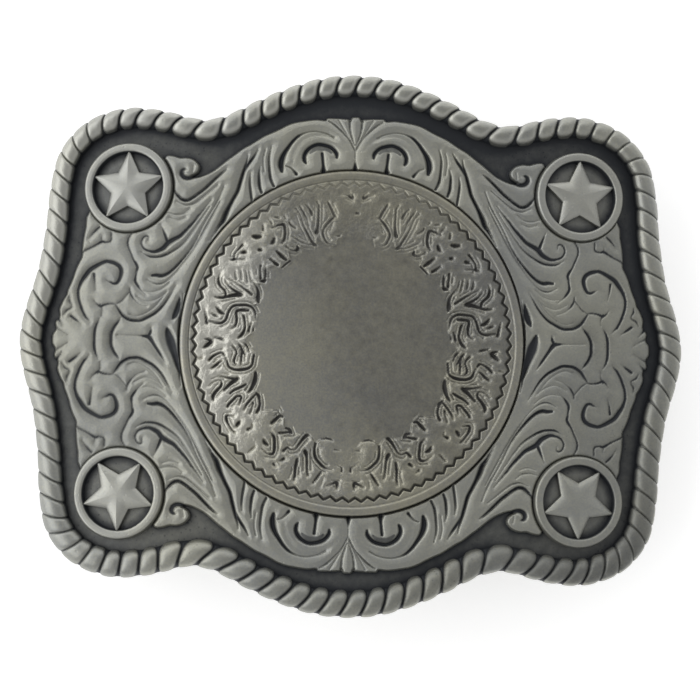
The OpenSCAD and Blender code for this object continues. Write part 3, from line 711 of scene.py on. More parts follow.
# How a strand leans, by the place clockwise from the top's middle: columns are mm, how far its
# outer end is ahead, and how much of that falls near the outer edge, 1 being evenly
ROPE_LEADS = np.array([
    (0, 1.7, 2), (28, 1.7, 1.8), (36, 0.8, 1.6), (44, 0.8, 1.5), (52, 2.1, 1.2), (60, 2.5, 1.2),
    (108, 2.6, 1.2), (118, 2.6, 1.6), (127, 1.6, 2), (137, 2.1, 1.6), (162, 2.1, 1.6),
    (172, 2.7, 1.3), (180, 1.1, 1.5), (190, 0.7, 1.6), (198, 2.2, 1.2), (206, 2.5, 1.2),
    (248, 2.5, 1.2), (258, 1.8, 1.8), (270, 1.7, 2)])


def rope_surface():
    """The rope as a closed tube along the outer edge, a little wider at the sides and the bottom.
    Over the section angle the half ring stands as a flattened arch, and over each strand the arch
    sinks to both ends by one minus a superellipse of its place. The strands lean: a point's place
    along the edge moves ahead towards the outside. At the two sides the gaps are narrower,
    shallower and less black. Light and shade are painted on the strands: they are lighter towards
    the upper left and darker towards the lower right, and along the top their bodies are painted
    lighter and their crests darker, a painted reflection."""
    count = STRANDS * STRAND_STEPS
    run = np.arange(count) * edge_length / count
    share = (np.arange(count) % STRAND_STEPS) / STRAND_STEPS
    edge_x, edge_y = on_edge(run).T[:, :, None]
    at_side = smooth_step(33, 42, np.abs(edge_x))
    width = (ROPE_W + WIDER_AT_SIDES * (1 - smooth_step(12, 30, edge_y)) +
             WIDER_BELOW * smooth_step(10, 28, -edge_y))
    arch = np.linspace(0, np.pi, ARCH_ROWS)
    reach = 1 - (0.36 - 0.12 * np.cos(arch)) * np.cos(arch) ** 4 * (1 - 0.7 * at_side)
    from_crest = np.abs(2 * share - 1)[:, None] / reach
    bulge = np.clip(1 - from_crest ** (2.6 + 2.2 * at_side), 0, 1) ** 0.55
    sink = (1 - bulge) * (1 - 0.35 * at_side)
    inward = width / 2 - (width / 2 - OUTER_INSET) * np.cos(arch) * (1 - 0.13 * sink)
    height = ROPE_FOOT + (ROPE_H - ROPE_FOOT) * np.sin(arch) ** 0.75 * (1 - 0.36 * sink)
    bulge, inward, height = [
        np.concatenate([part, np.broadcast_to(below, (count, len(UNDERSIDE)))], 1)
        for part, below in ((bulge, 0), (inward, UNDERSIDE), (height, ROPE_UNDER))]
    across = inward / width
    from_top = np.mod(run + edge_length / 4, edge_length)
    lead, lean = [np.interp(from_top, ROPE_LEADS[:, 0], part, period=edge_length)[:, None]
                  for part in ROPE_LEADS[:, 1:].T]
    ahead = lead * (np.abs(1 - across) ** lean - 0.4)
    place = edge_place(run[:, None] + ahead, inward)
    gap_dark = (1 - smooth_step(0.2, 0.85, bulge)) * (0.95 - 0.3 * at_side)
    wall_dark = 0.9 * (1 - smooth_step(0, 0.9, height - 0.45 * at_side)) * (across > 0.5)
    crest = smooth_step(1.5, 1.85, height) * smooth_step(0.84, 0.98, bulge)
    body = smooth_step(0.4, 0.8, bulge) * smooth_step(0.8, 1.3, height)
    x, y = place[..., 0], place[..., 1]
    at_top = smooth_step(24, 31, y) * (1 - smooth_step(24, 34, np.abs(x)))
    # Painted light and shade: the strands are lighter towards the upper left, darker towards the
    # lower right and lighter along the top, where their crests are painted darker as a painted
    # reflection.
    buffing = (0.3 * np.clip(y / 33, -1, 1) - 0.25 * np.clip(x / 45, -1, 1) - 0.02 +
               0.24 * at_top)
    dark = np.maximum(gap_dark, wall_dark) - buffing * body + 0.6 * crest * at_top
    return on_bow(x, y, height), dark


rope_points, rope_dark = rope_surface()
finish_piece(new_piece("rope_edge", rope_points,
                       [grid_faces(*rope_dark.shape, around=True, along=True)],
                       surface_normals(rope_points, around=True, along=True), rope_dark))

# Star conchos
# Four round bosses cast in the corners: a rounded ring round a sunk black floor, and a five-pointed
# star whose arms fall away from ridges. They stand square to the bow, and the lower two are
# mirrored.
RING_W = 1.5
RING_FOOT = 0.4
RING_ROWS = 17
RING_COLUMNS = 96
FLOOR_H = 0.35
STAR_R = 5.6
STAR_WAIST = 0.49
STAR_STEPS = 20
STAR_FOOT = 0.95
STAR_RISE = 0.62
STAR_RUN = 0.7
# Shares of the way from the star's middle to its edge, over its face and then down its wall
STAR_FACE = [0, 0.06, 0.14, 0.24, 0.36, 0.5, 0.64, 0.76, 0.86, 0.93, 0.975, 1]
STAR_WALL = [1.02, 1.03]
# How dark floor and ring are, by radius
RING_DARK = [(0, 0.5), (4.4, 0.5), (5.2, 0.9), (5.3, 0.9), (5.45, -0.2), (6.55, -0.2), (6.7, 0.8)]


def square_to_bow(centre_x, centre_y):
    """Gives the function that sets the points of an upright thing square to the bow, with its axis
    through one place of the ground."""
    lean = np.arcsin(centre_x / BOW_R)

    def place(x, y, height):
        out = BOW_R + height
        return np.stack([x * np.cos(lean) + out * np.sin(lean), centre_y + y,
                         BOW_Z + out * np.cos(lean) - x * np.sin(lean)], axis=-1)
    return place


def star_surface():
    """The star in its own plane: along each direction its reach is where that direction crosses the
    straight edge between a point and a waist. It rises from its edge by one minus a falling
    exponential of the distance to the nearest edge, so each arm is a soft ridge, and its wall runs
    down to the sunk floor."""
    turn = np.arange(11) * np.pi / 5
    tip_reach = np.where(np.arange(11) % 2 == 0, STAR_R, STAR_R * STAR_WAIST)
    corners = np.stack([tip_reach * np.sin(turn), tip_reach * np.cos(turn)], -1)
    share = (np.arange(10 * STAR_STEPS) % STAR_STEPS / STAR_STEPS)[:, None]
    side = np.repeat(np.arange(10), STAR_STEPS)
    outline = corners[side] * (1 - share) + corners[side + 1] * share
    points = outline[:, None] * np.array(STAR_FACE + STAR_WALL)[None, :, None]
    face = points[:, :len(STAR_FACE)]
    gap = nearest(*face.reshape(-1, 2).T, corners)[0].reshape(face.shape[:2])
    height, dark = [
        np.concatenate([part, np.broadcast_to(wall, (len(points), len(STAR_WALL)))], 1)
        for part, wall in ((STAR_FOOT + STAR_RISE * (1 - np.exp(-gap / STAR_RUN)), [0.6, 0.2]),
                           (0.32 * np.exp(-gap / 0.12) - 0.3, [0.5, 0.9]))]
    return points, height, dark


ring_rows = [(radius, FLOOR_H) for radius in (0, 2, 4, 4.9, 5.1)]
ring_rows += [(RING_R + RING_W / 2 * (t - 1), RING_FOOT + (1 - abs(t) ** 4) ** 0.45)
              for t in np.linspace(-1, 1, RING_ROWS)]
ring_rows += [(RING_R, 0.2), (RING_R - 0.1, -0.5), (4, -0.5), (0, -0.5)]
ring_radius, ring_height = np.array(ring_rows).T
ring_dark = np.interp(ring_radius, *zip(*RING_DARK))
star_flat, star_height, star_dark = star_surface()
columns, rows = star_dark.shape[0], star_dark.shape[1] - 2
star_ring = np.arange(columns) * rows
star_faces = [grid_faces(columns, rows, around=True), fan_faces(star_ring, columns * rows),
              (star_ring + rows - 1)[::-1][None]]
# Painted shade: the lower right concho's ring and star are painted darker than the other three.
for corner, side_x, side_y, added_dark in (("right_top", 1, 1, 0), ("left_top", -1, 1, 0),
                                     ("left_bottom", -1, -1, 0), ("right_bottom", 1, -1, 0.4)):
    place = square_to_bow(CONCHO[0] * side_x, CONCHO[1] * side_y)
    finish_piece(round_piece("concho_ring_" + corner, ring_radius, ring_height,
                             ring_dark + added_dark * (ring_dark < 0.3), RING_COLUMNS, place))
    star = place(star_flat[..., 0], side_y * star_flat[..., 1], star_height)[::-side_y]
    star_normals = surface_normals(star, around=True)
    finish_piece(new_piece(
        "star_" + corner, np.concatenate([star[:, 1:-1].reshape(-1, 3), star[:1, 0]]), star_faces,
        np.concatenate([star_normals.reshape(-1, 3), star_normals[:, 0].mean(0)[None]]),
        np.append(star_dark[:, 1:-1][::-side_y].ravel(), star_dark[0, 0]) + 0.6 * added_dark))

# Lugs and boss behind
# Two lugs that hold the belt loop's wire and the round boss that holds the hook post are cast on
# the plain back, with softly rounded edges.
WIRE_R = 1.75
PIVOT_X = 22.0
PIVOT_Z = BOW_Z + np.sqrt((BOW_R - PLATE_T) ** 2 - PIVOT_X ** 2) - WIRE_R - 1.2
LUG_Y = 15.75
LUG_W = 4.0
LUG_ROUND = 0.25
BORE_R = WIRE_R + 0.1
EYE_R = WIRE_R + 1.6
HOOK_X = -30.0
LUG_COLUMNS = 96
LUG_DARK = 0.35
# Section of the boss, round its hole and out over its end: radius and height over the ground
BOSS_ROWS = [(1.65, -1.4), (1.65, -2.9), (1.75, -3), (4.1, -3), (4.4, -2.88), (4.5, -2.55),
             (4.5, -1.7), (3, -1.4)]


def cast_ring(name, points):
    """A closed ring of closed sections that belongs to the casting."""
    dark = np.full(points.shape[:2], LUG_DARK)
    finish_piece(new_piece(name, points, [grid_faces(*dark.shape, around=True, along=True)],
                           surface_normals(points, around=True, along=True), dark))


def lug_points(side):
    """One lug: round its bore the outline is the larger of a circle and of a block that reaches up
    into the plate, and its section steps from the bore over one rounded face to the outline and
    back over the other."""
    across, up = np.cos(lug_turn), np.sin(lug_turn)
    block = np.minimum((EYE_R - LUG_ROUND) / np.maximum(np.abs(across), 1e-6),
                       (WIRE_R + 2.2) / np.maximum(up, 1e-6))
    outline = np.maximum(EYE_R, np.where(up > 0, block, 0))
    bore = np.full(outline.shape, BORE_R)
    half = LUG_W / 2
    face = [(bore, half - LUG_ROUND), (bore + LUG_ROUND, half), (outline - 0.4, half),
            (outline - 0.1, half - 0.1), (outline, half - 0.4)]
    section = [(radius, -y) for radius, y in face] + face[::-1]
    radius = np.concatenate([radius for radius, _ in section], 1)
    y = np.broadcast_to([y for _, y in section], radius.shape) + side * LUG_Y
    return np.stack([PIVOT_X + radius * across, y, PIVOT_Z + radius * up], -1)


lug_turn = (np.arange(LUG_COLUMNS) * 2 * np.pi / LUG_COLUMNS)[:, None]
cast_ring("loop_lug_upper", lug_points(1))
cast_ring("loop_lug_lower", lug_points(-1))
boss_radius, boss_height = np.array(BOSS_ROWS).T
boss_points = square_to_bow(HOOK_X, 0)(boss_radius * np.cos(lug_turn),
                                       boss_radius * np.sin(lug_turn), boss_height)
cast_ring("hook_boss", boss_points[::-1])

# Medallion
# A separate stamped disc set in the seat: a raised rim, a plain band with an engraved zigzag, a
# wreath of leaves cut in low relief, and a plain middle. Its metal is browner than the casting and
# dulled by age.
MEDALLION_T = 1.1
SET_IN = 0.1
MEDALLION_COLUMNS = 900
RIM_W = 1.3
RIM_H = 0.3
ZIGZAG_TEETH = 80
ZIGZAG_R = 0.918 * MEDALLION_R
ZIGZAG_UP = 0.2
ZIGZAG_SWING = 0.3
ZIGZAG_SLANT = 0.68
ZIGZAG_HALF_W = 0.15
ZIGZAG_DEPTH = 0.2
DISC_TURN = 1.4
PLAIN_DARK = 0.46
LEAF_H = 0.26
LEAF_RUN = 0.4
WREATH_STEPS = 6
VEIN_APART = 0.52
VEIN_W = 0.22
# Where the hand-cut finish of the wreath starts and ends, each as a range of radii, and its height,
# all in metres for the shader nodes
WREATH_STARTS = (14.2 * MM, 15.8 * MM)
WREATH_ENDS = (21.8 * MM, 22.6 * MM)
HAND_CUT_H = 0.16 * MM
# Inner edge of the wreath in one half: columns are the angle clockwise from the top and the radius
WREATH_EDGE = [
    (180, 15.2), (185, 15.7), (190, 14.6), (193, 14.4), (196, 14.8), (198.5, 15.6), (202, 15.1),
    (205, 15.2), (209, 15.7), (212, 15.7), (214, 15.5), (217, 15.7), (221, 14.7), (226, 14.6),
    (229, 15.6), (232, 16.4), (236, 15.7), (240, 15.6), (245, 15.5), (249, 14.8), (252.5, 14.6),
    (256, 14.8), (259, 14.5), (262, 14.2), (265, 15), (268.5, 15.7), (271.5, 15.4), (274.5, 14.5),
    (278.5, 14.4), (282, 14.3), (286, 14.6), (289, 15.6), (291, 14.7), (294, 15), (297, 15.3),
    (300, 16.2), (303, 15.5), (306, 15.6), (309.5, 16.4), (313, 16), (315.5, 14.9), (318, 14.8),
    (322, 14.9), (324.5, 16.3), (327, 15.7), (330, 15.8), (334.5, 15.6), (338, 15), (341, 16),
    (344, 14.9), (347, 14.6), (350, 14.5), (352, 15.4), (356, 15.2), (360, 15.2)]
# Cuts of the wreath in one half: rows of the angle clockwise from the top, the radius and the width
WREATH_CUTS = [
    # Bottom, to the left of the middle
    [(184.8, 21.6, 0.3), (185, 20.7, 0.6), (186.4, 20.9, 0.4), (188.7, 21.4, 0.2)],
    [(194.3, 21.4, 0.3), (193, 20.3, 0.4), (192, 19.5, 0.3)],
    [(191, 21.6, 0.15), (190.6, 20.4, 0.15)],
    [(187.5, 18.9, 0.2), (190, 18.9, 0.3), (192, 18.7, 0.5), (194, 18.3, 0.5), (195.8, 17.9, 0.5),
     (197, 17.4, 0.5), (198, 16.6, 0.4), (198.5, 15.8, 0.4)],
    [(197, 20.6, 0.3), (198, 19.9, 0.35), (199, 19, 0.4), (200, 18.2, 0.4), (201, 17.7, 0.7),
     (202, 17.4, 0.6)],
    [(201.5, 22, 0.3), (202, 21.1, 0.4), (203, 20.1, 0.5), (203.8, 18.9, 0.4)],
    [(203.5, 22, 0.2), (203.8, 20.5, 0.2)],
    [(211.5, 21.2, 0.4), (210, 21.4, 0.2)],
    [(209.8, 20.3, 0.3), (209, 19.8, 0.5)],
    [(211, 18.9, 0.4), (210, 18.1, 0.4), (208, 18.1, 0.3), (206.5, 17.7, 0.3), (206, 16.8, 0.4),
     (205.5, 16, 0.5), (204.7, 15.3, 0.7), (203.5, 15, 0.3)],
    [(219, 20.4, 0.2), (216, 20.5, 0.3), (214, 20.1, 0.5), (214.5, 19.4, 0.5), (216, 18.7, 0.5),
     (218, 18, 0.5), (221, 17.8, 0.2)],
    [(217.8, 19.5, 0.4), (219.5, 19.5, 0.6), (221, 19.3, 0.3)],
    [(217.5, 17.1, 0.4), (215.5, 16.6, 0.4), (214, 16.2, 0.4), (212.2, 16, 0.4), (214, 15.75, 0.6),
     (216, 15.9, 0.5)],
    [(222, 22.2, 0.3), (221.8, 21.4, 0.3), (221.6, 20.9, 0.3)],
    [(223.5, 16.8, 0.4), (223.2, 15.8, 0.6), (223, 15.2, 0.5), (221.5, 14.9, 0.4)],
    [(221.5, 14.85, 0.3), (224, 14.9, 0.3), (226, 14.8, 0.3), (227.5, 15.2, 0.3)],
    [(183.3, 19, 0.4), (183.5, 18.5, 0.3), (185.5, 18.2, 0.2)],
    [(185, 16, 0.2), (188, 16, 0.3)],
    [(190, 14.7, 0.3), (193, 14.6, 0.4), (196, 14.9, 0.3)],
    # Lower left
    [(231, 21.7, 0.3), (232.5, 21.8, 0.4), (235, 21.75, 0.4), (237, 21.6, 0.6), (238.3, 21.3, 0.5),
     (237.5, 20.8, 0.3), (236.5, 20.4, 0.2)],
    [(232.8, 20.9, 0.5), (233.3, 20.4, 0.6), (233.6, 20.1, 0.3)],
    [(228.8, 19.9, 0.5), (228.3, 19.3, 0.3), (229.5, 18.9, 0.2)],
    [(232.2, 17.4, 0.4), (233, 16.8, 0.5), (234.5, 16.3, 0.5), (236.5, 16, 0.5), (238.5, 15.8, 0.7),
     (240.3, 15.9, 0.6)],
    [(233.8, 18.3, 0.3), (235.5, 17.5, 0.3), (237.2, 17, 0.4)],
    [(236.5, 18.8, 0.2), (238, 18, 0.4), (239.2, 17, 0.4), (240, 16.2, 0.4)],
    [(241.3, 20.6, 0.4), (242, 20.2, 0.5), (242.8, 19.4, 0.5), (243.5, 18.6, 0.5),
     (242.5, 18.1, 0.5), (241, 18.5, 0.4), (239.7, 19, 0.2)],
    [(245.9, 19.4, 0.4), (246.6, 18.6, 0.5), (246.7, 17.6, 0.5), (247, 16.7, 0.4)],
    [(242.8, 16.9, 0.3), (244, 16.2, 0.6), (246, 15.6, 0.9), (248.5, 15.1, 0.9), (250.5, 14.9, 0.7),
     (252, 14.8, 0.3)],
    [(244.5, 17.2, 0.3), (246, 16.5, 0.3)],
    [(246.3, 22.1, 0.4), (247.8, 21.8, 0.7), (249.2, 21, 0.6), (250.2, 20.3, 0.5), (251.8, 20, 0.4),
     (252.8, 20.3, 0.3), (252.8, 21.2, 0.3), (251.8, 22, 0.2)],
    [(248.3, 20.1, 0.4), (249.3, 19.3, 0.6), (250.3, 18.5, 0.8), (251.1, 17.7, 0.7)],
    [(251.3, 18, 0.6), (252.7, 18.9, 0.4), (254, 19.7, 0.35), (254.9, 20.3, 0.2)],
    [(262.5, 18.8, 0.2), (260, 18.55, 0.4), (257.5, 18.4, 0.5), (255.7, 17.7, 0.5),
     (254.7, 16.6, 0.6), (254.7, 15.6, 0.5), (256, 15, 0.4), (258.5, 14.75, 0.5), (261, 14.5, 0.5),
     (262, 14.4, 0.2)],
    [(257.5, 17.3, 0.3), (259.5, 17.55, 0.5), (261.5, 17.3, 0.4), (263.5, 17, 0.4),
     (265.5, 17.2, 0.4), (267.2, 17.6, 0.3)],
    [(257.3, 16.6, 0.3), (259, 16.5, 0.4), (261, 16.4, 0.5), (263.5, 16.2, 0.5), (266, 16.3, 0.5),
     (268, 16.7, 0.3)],
    [(261.5, 15.8, 0.3), (263.5, 16, 0.5), (265.5, 16.2, 0.4)],
    [(263.5, 15.2, 0.3), (265.5, 15.3, 0.4), (267.5, 15.6, 0.4), (268.8, 16, 0.2)],
    [(258.3, 21.1, 0.3), (259.2, 20.3, 0.5), (260.3, 19.7, 0.4), (260.7, 19.3, 0.3)],
    [(261.7, 21.2, 0.4), (263, 20.6, 0.5), (263.9, 19.9, 0.4), (264.3, 19.2, 0.4),
     (263, 18.9, 0.4)],
    [(262.8, 23, 0.2), (263, 22.2, 0.3)],
    # Upper left
    [(266.8, 21.9, 0.3), (268.3, 21.1, 0.8), (269.5, 20.8, 0.7), (270.3, 21.6, 0.3)],
    [(271, 20.2, 0.3), (270.3, 19.2, 0.4), (269.7, 18.8, 0.2)],
    [(276.5, 21.6, 0.5), (279, 21.9, 0.4), (281.5, 22.3, 0.2)],
    [(277.4, 21.3, 0.3), (277.2, 19.6, 0.45), (279.1, 18.87, 0.5), (282.9, 18.7, 0.5),
     (285.8, 18.3, 0.5), (287.2, 17.45, 0.5), (288.4, 16.3, 0.5), (287.9, 15.45, 0.45),
     (285.8, 14.87, 0.45), (281.5, 14.5, 0.2)],
    [(275.3, 17.95, 0.2), (277.2, 17.3, 0.4), (280.5, 17.3, 0.6), (283.9, 17.6, 0.6),
     (285.3, 16.8, 0.6), (286, 15.95, 0.4)],
    [(271, 16.8, 0.3), (272.9, 16.2, 0.6), (275.7, 15.87, 0.5), (278.6, 15.95, 0.4),
     (282, 16.3, 0.5), (282.9, 16.6, 0.3)],
    [(273.8, 15.37, 0.2), (275.5, 15.28, 0.5), (279.5, 15.1, 0.3)],
    [(274.3, 14.7, 0.2), (276, 14.6, 0.4), (278.5, 14.6, 0.2)],
    [(280.5, 21.1, 0.3), (280, 20.5, 0.4), (279.8, 20, 0.2)],
    [(283.6, 20.7, 0.3), (281.9, 19.95, 0.6), (281.5, 19.3, 0.4)],
    [(287.4, 21.3, 0.3), (287.9, 20.3, 0.5), (289.1, 19.6, 0.6), (291, 18.6, 0.8),
     (292.2, 17.9, 0.8)],
    [(288.9, 19.8, 0.6), (291, 20.2, 0.5), (292, 21, 0.5), (292.9, 21.5, 0.6), (294.8, 21.9, 0.4),
     (296.8, 22, 0.2)],
    [(292.2, 17.9, 0.8), (292.8, 19, 0.5), (293.6, 20, 0.35), (295, 20.8, 0.2)],
    [(296.3, 20.5, 0.2), (296, 19, 0.3), (295.3, 17.5, 0.4), (294.4, 16.3, 0.4)],
    [(291.5, 14.85, 0.3), (293.9, 15.28, 0.9), (296.8, 15.6, 0.7), (299.1, 16.3, 0.4),
     (300.6, 17.3, 0.2)],
    [(297.5, 19.4, 0.3), (299, 19.9, 0.3), (300.5, 20.2, 0.2)],
    [(298.5, 18.7, 0.25), (300.5, 19.2, 0.3), (302, 19.6, 0.2)],
    [(298.6, 17.7, 0.25), (301, 18.3, 0.3), (303, 18.9, 0.2)],
    [(299.7, 17.2, 0.2), (301.5, 17.8, 0.25), (303.5, 18.4, 0.2)],
    [(302.8, 16.2, 0.4), (303.8, 15.8, 0.8), (304.8, 15.7, 0.4)],
    [(303.9, 15.8, 0.4), (306, 16, 0.5), (308, 16.4, 0.5), (309.7, 16.8, 0.3)],
    [(303.8, 16.4, 0.5), (305.5, 16.8, 0.4), (307.5, 17.3, 0.35), (309, 17.6, 0.4)],
    [(303.3, 21.7, 0.3), (304.2, 21.3, 0.5), (304.8, 21.5, 0.4), (306.5, 21.75, 0.35),
     (308.5, 21.75, 0.4), (310.8, 21.7, 0.4)],
    [(304.3, 21.3, 0.4), (305.3, 20.8, 0.3), (306.8, 20, 0.2)],
    [(307.8, 21.1, 0.3), (308.9, 20.8, 0.6), (309.3, 20.6, 0.4)],
    [(313.9, 19.4, 0.5), (314.3, 19.2, 0.5)],
    [(314.5, 17.3, 0.3), (315, 15.8, 0.5)],
    # Top, to the left of the middle
    [(316, 21.5, 0.5), (317, 21, 0.7), (318.2, 20.7, 0.5)],
    [(320.6, 21.2, 0.4), (321.7, 21.8, 0.3)],
    [(324.1, 20.7, 0.3), (326.5, 20.5, 0.4), (328.9, 20.15, 0.7), (327.9, 19.1, 0.5),
     (326, 18.3, 0.5), (323.6, 17.95, 0.3)],
    [(319.5, 18.9, 0.3), (320.8, 18.9, 0.6), (322.2, 19.2, 0.4)],
    [(324.8, 22, 0.2), (325, 21.3, 0.3), (324.6, 20.8, 0.2)],
    [(327.3, 21.8, 0.3), (328.3, 21.5, 0.35), (328.9, 21.2, 0.2)],
    [(330.7, 21.2, 0.3), (330.9, 20.8, 0.3)],
    [(331.4, 20, 0.4), (331.6, 19.5, 0.4), (332.7, 18.8, 0.3)],
    [(319.4, 17.5, 0.3), (319.8, 16.4, 0.6), (320.4, 15.5, 0.4)],
    [(315.5, 15.1, 0.3), (318, 15.1, 0.5), (321.6, 15.1, 0.4)],
    [(324.5, 17.2, 0.3), (325.5, 16.4, 0.3), (327, 15.95, 0.4), (328.7, 15.9, 0.7),
     (329.3, 16.3, 0.4)],
    [(329.5, 18, 0.2), (330.8, 17.3, 0.3), (332.5, 16.5, 0.3), (334.5, 15.9, 0.3),
     (336.8, 15.6, 0.4), (338, 15.4, 0.7), (339, 15.2, 0.3)],
    [(336.2, 21.5, 0.3), (336.8, 20.5, 0.3), (336.5, 19, 0.3), (336.8, 17.5, 0.4),
     (337.2, 16.2, 0.5), (337.9, 15.5, 0.6)],
    [(338, 21.6, 0.3), (338.4, 20.8, 0.4), (338.8, 19.9, 0.4), (338.9, 19.2, 0.3),
     (338.5, 18.3, 0.3)],
    [(340.5, 21.5, 0.3), (341.3, 20.8, 0.4), (341.7, 20, 0.6), (341.2, 19.6, 0.2)],
    [(345, 21.5, 0.3), (345.3, 20.7, 0.4), (344.5, 19.6, 0.4), (343.4, 18.4, 0.45),
     (342.3, 17.6, 0.6), (341.2, 17.1, 0.9), (340.5, 17.2, 0.4)],
    [(349.2, 21.2, 0.3), (349.8, 20.5, 0.5), (350.5, 19.7, 0.6), (351.1, 19, 0.6),
     (351.9, 18.7, 0.3)],
    [(350.8, 18.7, 0.4), (349, 18.3, 0.5), (347, 17.8, 0.5), (345.3, 17.3, 0.4), (344.2, 16.8, 0.5),
     (344.2, 15.9, 0.4), (344.9, 15.2, 0.4), (346.5, 14.9, 0.3), (349.5, 14.7, 0.2)],
    [(350.5, 15.9, 0.2), (352, 15.8, 0.4), (353, 15.9, 0.2)],
    [(347.8, 16.8, 0.2), (349.5, 17.6, 0.25)],
    [(359.2, 21.9, 0.3), (359.1, 21.4, 0.6), (357.4, 21.8, 0.35), (355.2, 22, 0.1)],
    [(1.4, 19.2, 0.5), (1.9, 19.1, 0.5)]]
# The disc's hidden wall and back: radius and height over the ground
WALL_ROWS = [(MEDALLION_R, 0.9), (MEDALLION_R, SET_IN + 0.1), (MEDALLION_R - 0.1, SET_IN),
             (12, SET_IN), (0, SET_IN)]
WALL_DARK = 0.6


def clockwise(rows, mirror):
    """Chart rows of angle and radius as places: the angle runs clockwise from the top. The other
    half of the wreath mirrors the charted one, over a line that the disc's own small turn has
    carried with it."""
    rows = np.array(rows, float)
    angle = np.radians(DISC_TURN + mirror * (rows[:, 0] - DISC_TURN))
    radius = rows[:, 1] * CHART_SCALE
    return np.column_stack([radius * np.sin(angle), radius * np.cos(angle), rows[:, 2:]])


def vein_beside(rows, side):
    """A thin line that runs beside a cut: its rows moved sideways by the vein's distance, less both
    ends."""
    ahead = rows[2:, :2] - rows[:-2, :2]
    ahead /= np.linalg.norm(ahead, axis=1, keepdims=True)
    moved = rows[1:-1, :2] + side * VEIN_APART * np.stack([-ahead[:, 1], ahead[:, 0]], -1)
    return np.column_stack([moved, np.full(len(moved), VEIN_W)])


def wreath_depth(width):
    """Depth of a cut in the wreath, which grows with its width."""
    return 0.08 + 0.55 * width


def medallion_surface(radius, angle):
    """Height and darkness of the disc's face. A round rim stands over a flat band, whose zigzag
    line swings evenly about its circle. The wreath is a shelf outside its wavy inner edge, less its
    cuts, and its leaves are crowned away from them. It fades into the plain middle where its halves
    meet. The engraving is worn near the top, and the black finish is worn thin on the rim, the
    teeth and the lips of the cuts. Painted light makes the disc lighter towards the lower left, and
    a painted highlight makes the leaves on the wreath's left side lighter still."""
    x, y = radius * np.cos(angle), radius * np.sin(angle)
    cuts = [(0, clockwise(rows, mirror)) for rows in WREATH_CUTS for mirror in (1, -1)]
    cuts += [(0, vein_beside(rows, side)) for _, rows in cuts if len(rows) > 3 for side in (1, -1)]
    depth, near, _, inside = carve(x, y, cuts, wreath_depth, reach=1.2)
    from_top = np.abs(np.mod(270 - np.degrees(angle) - DISC_TURN, 360) - 180)
    from_bow = np.minimum(from_top, 180 - from_top)
    worn = 0.5 + 0.5 * smooth_step(15, 50, from_top)
    edge = bent(WREATH_EDGE, WREATH_STEPS)
    border = np.interp(360 - from_top, edge[:, 0] - DISC_TURN, edge[:, 1]) * CHART_SCALE
    beyond = radius - border
    shelf = shoulder(beyond / 0.35 + 0.1)
    shelf *= 1 - (1 - smooth_step(4, 11, from_bow)) * (1 - smooth_step(17.5, 21, radius))
    lip = np.exp(-((beyond - 0.3) / 0.22) ** 2)
    leaf = 0.08 + LEAF_H * (1 - np.exp(-near / LEAF_RUN)) + 0.08 * lip
    turn = np.mod(angle * ZIGZAG_TEETH / (2 * np.pi), 1)
    zigzag = ZIGZAG_R + ZIGZAG_UP * np.sin(angle) + ZIGZAG_SWING * (4 * np.abs(turn - 0.5) - 1)
    from_zigzag = np.abs(radius - zigzag) * ZIGZAG_SLANT / ZIGZAG_HALF_W
    line = np.clip(1.25 - from_zigzag, 0, 1) * worn
    tooth = smooth_step(0, 0.15, radius - zigzag)
    tooth = tooth * (1 - smooth_step(0.2, 0.5, radius - ZIGZAG_R - ZIGZAG_SWING))
    in_wreath = 1 - smooth_step(-0.5, -0.1, radius - zigzag)
    rim = np.clip(1 - np.abs(radius - (MEDALLION_R - RIM_W / 2)) / (RIM_W / 2), 0, 1)
    rim = (1 - (1 - rim) ** 3) ** 0.7
    relief = in_wreath * (shelf * leaf - depth) * (0.4 + 0.6 * worn)
    height = (SET_IN + MEDALLION_T - 0.1 * in_wreath + relief - ZIGZAG_DEPTH * line +
              0.06 * tooth + RIM_H * rim)
    lips = shelf * in_wreath * (0.08 + 0.92 * np.exp(-near / 0.22)) * (0.2 + 0.8 * worn)
    # Painted light: the plain metal is painted lighter towards the lower left.
    brightened = smooth_step(-2, 18, -x - 0.45 * y)
    plain = PLAIN_DARK * (1 - 0.75 * lips) * (1 - 0.8 * tooth)
    plain = plain * (1 - 0.6 * rim * worn) * (1 - 0.8 * brightened)
    cut = 0.9 * inside * in_wreath * (0.6 + 0.4 * worn)
    foot = 0.5 * (1 - smooth_step(0.0, 0.25, np.abs(radius - MEDALLION_R + RIM_W)))
    # Painted highlight: the leaves on the wreath's left side are painted lighter still.
    painted_wreath_light = 0.9 * (1 - inside) * shelf * in_wreath * smooth_step(9, 19, -x)
    return height, np.maximum.reduce([cut, 0.9 * line, plain, foot]) - painted_wreath_light


disc_rows = np.concatenate([
    [0, 2.5, 5.5, 8.5, 11, 12.6], np.linspace(13.3, 22.0, 60),
    np.linspace(22.1, MEDALLION_R - RIM_W, 20), np.linspace(23.6, MEDALLION_R, 12)])
disc_angle = np.arange(MEDALLION_COLUMNS) * 2 * np.pi / MEDALLION_COLUMNS
disc_radius, disc_turn = np.meshgrid(disc_rows, disc_angle)
disc_height, disc_dark = [part.reshape(disc_radius.shape) for part in
                          medallion_surface(disc_radius.ravel(), disc_turn.ravel())]
disc_height[:, 0] = disc_height[0, 0]
wall_radius, wall_height = np.array(WALL_ROWS).T
disc_radius, disc_height, disc_dark = [
    np.concatenate([part, np.broadcast_to(wall, (MEDALLION_COLUMNS, len(WALL_ROWS)))], 1)
    for part, wall in ((disc_radius, wall_radius), (disc_height, wall_height),
                       (disc_dark, WALL_DARK))]
disc_metal = antiqued("engraved_disc", bright=(0.362, 0.355, 0.305), lightened=(0.62, 0.61, 0.55),
                      black=(0.028, 0.027, 0.025), rough=(0.41, 0.54), raggedness=0.35, cloud=0.14,
                      pits=0.1, pit_scale=430.0)
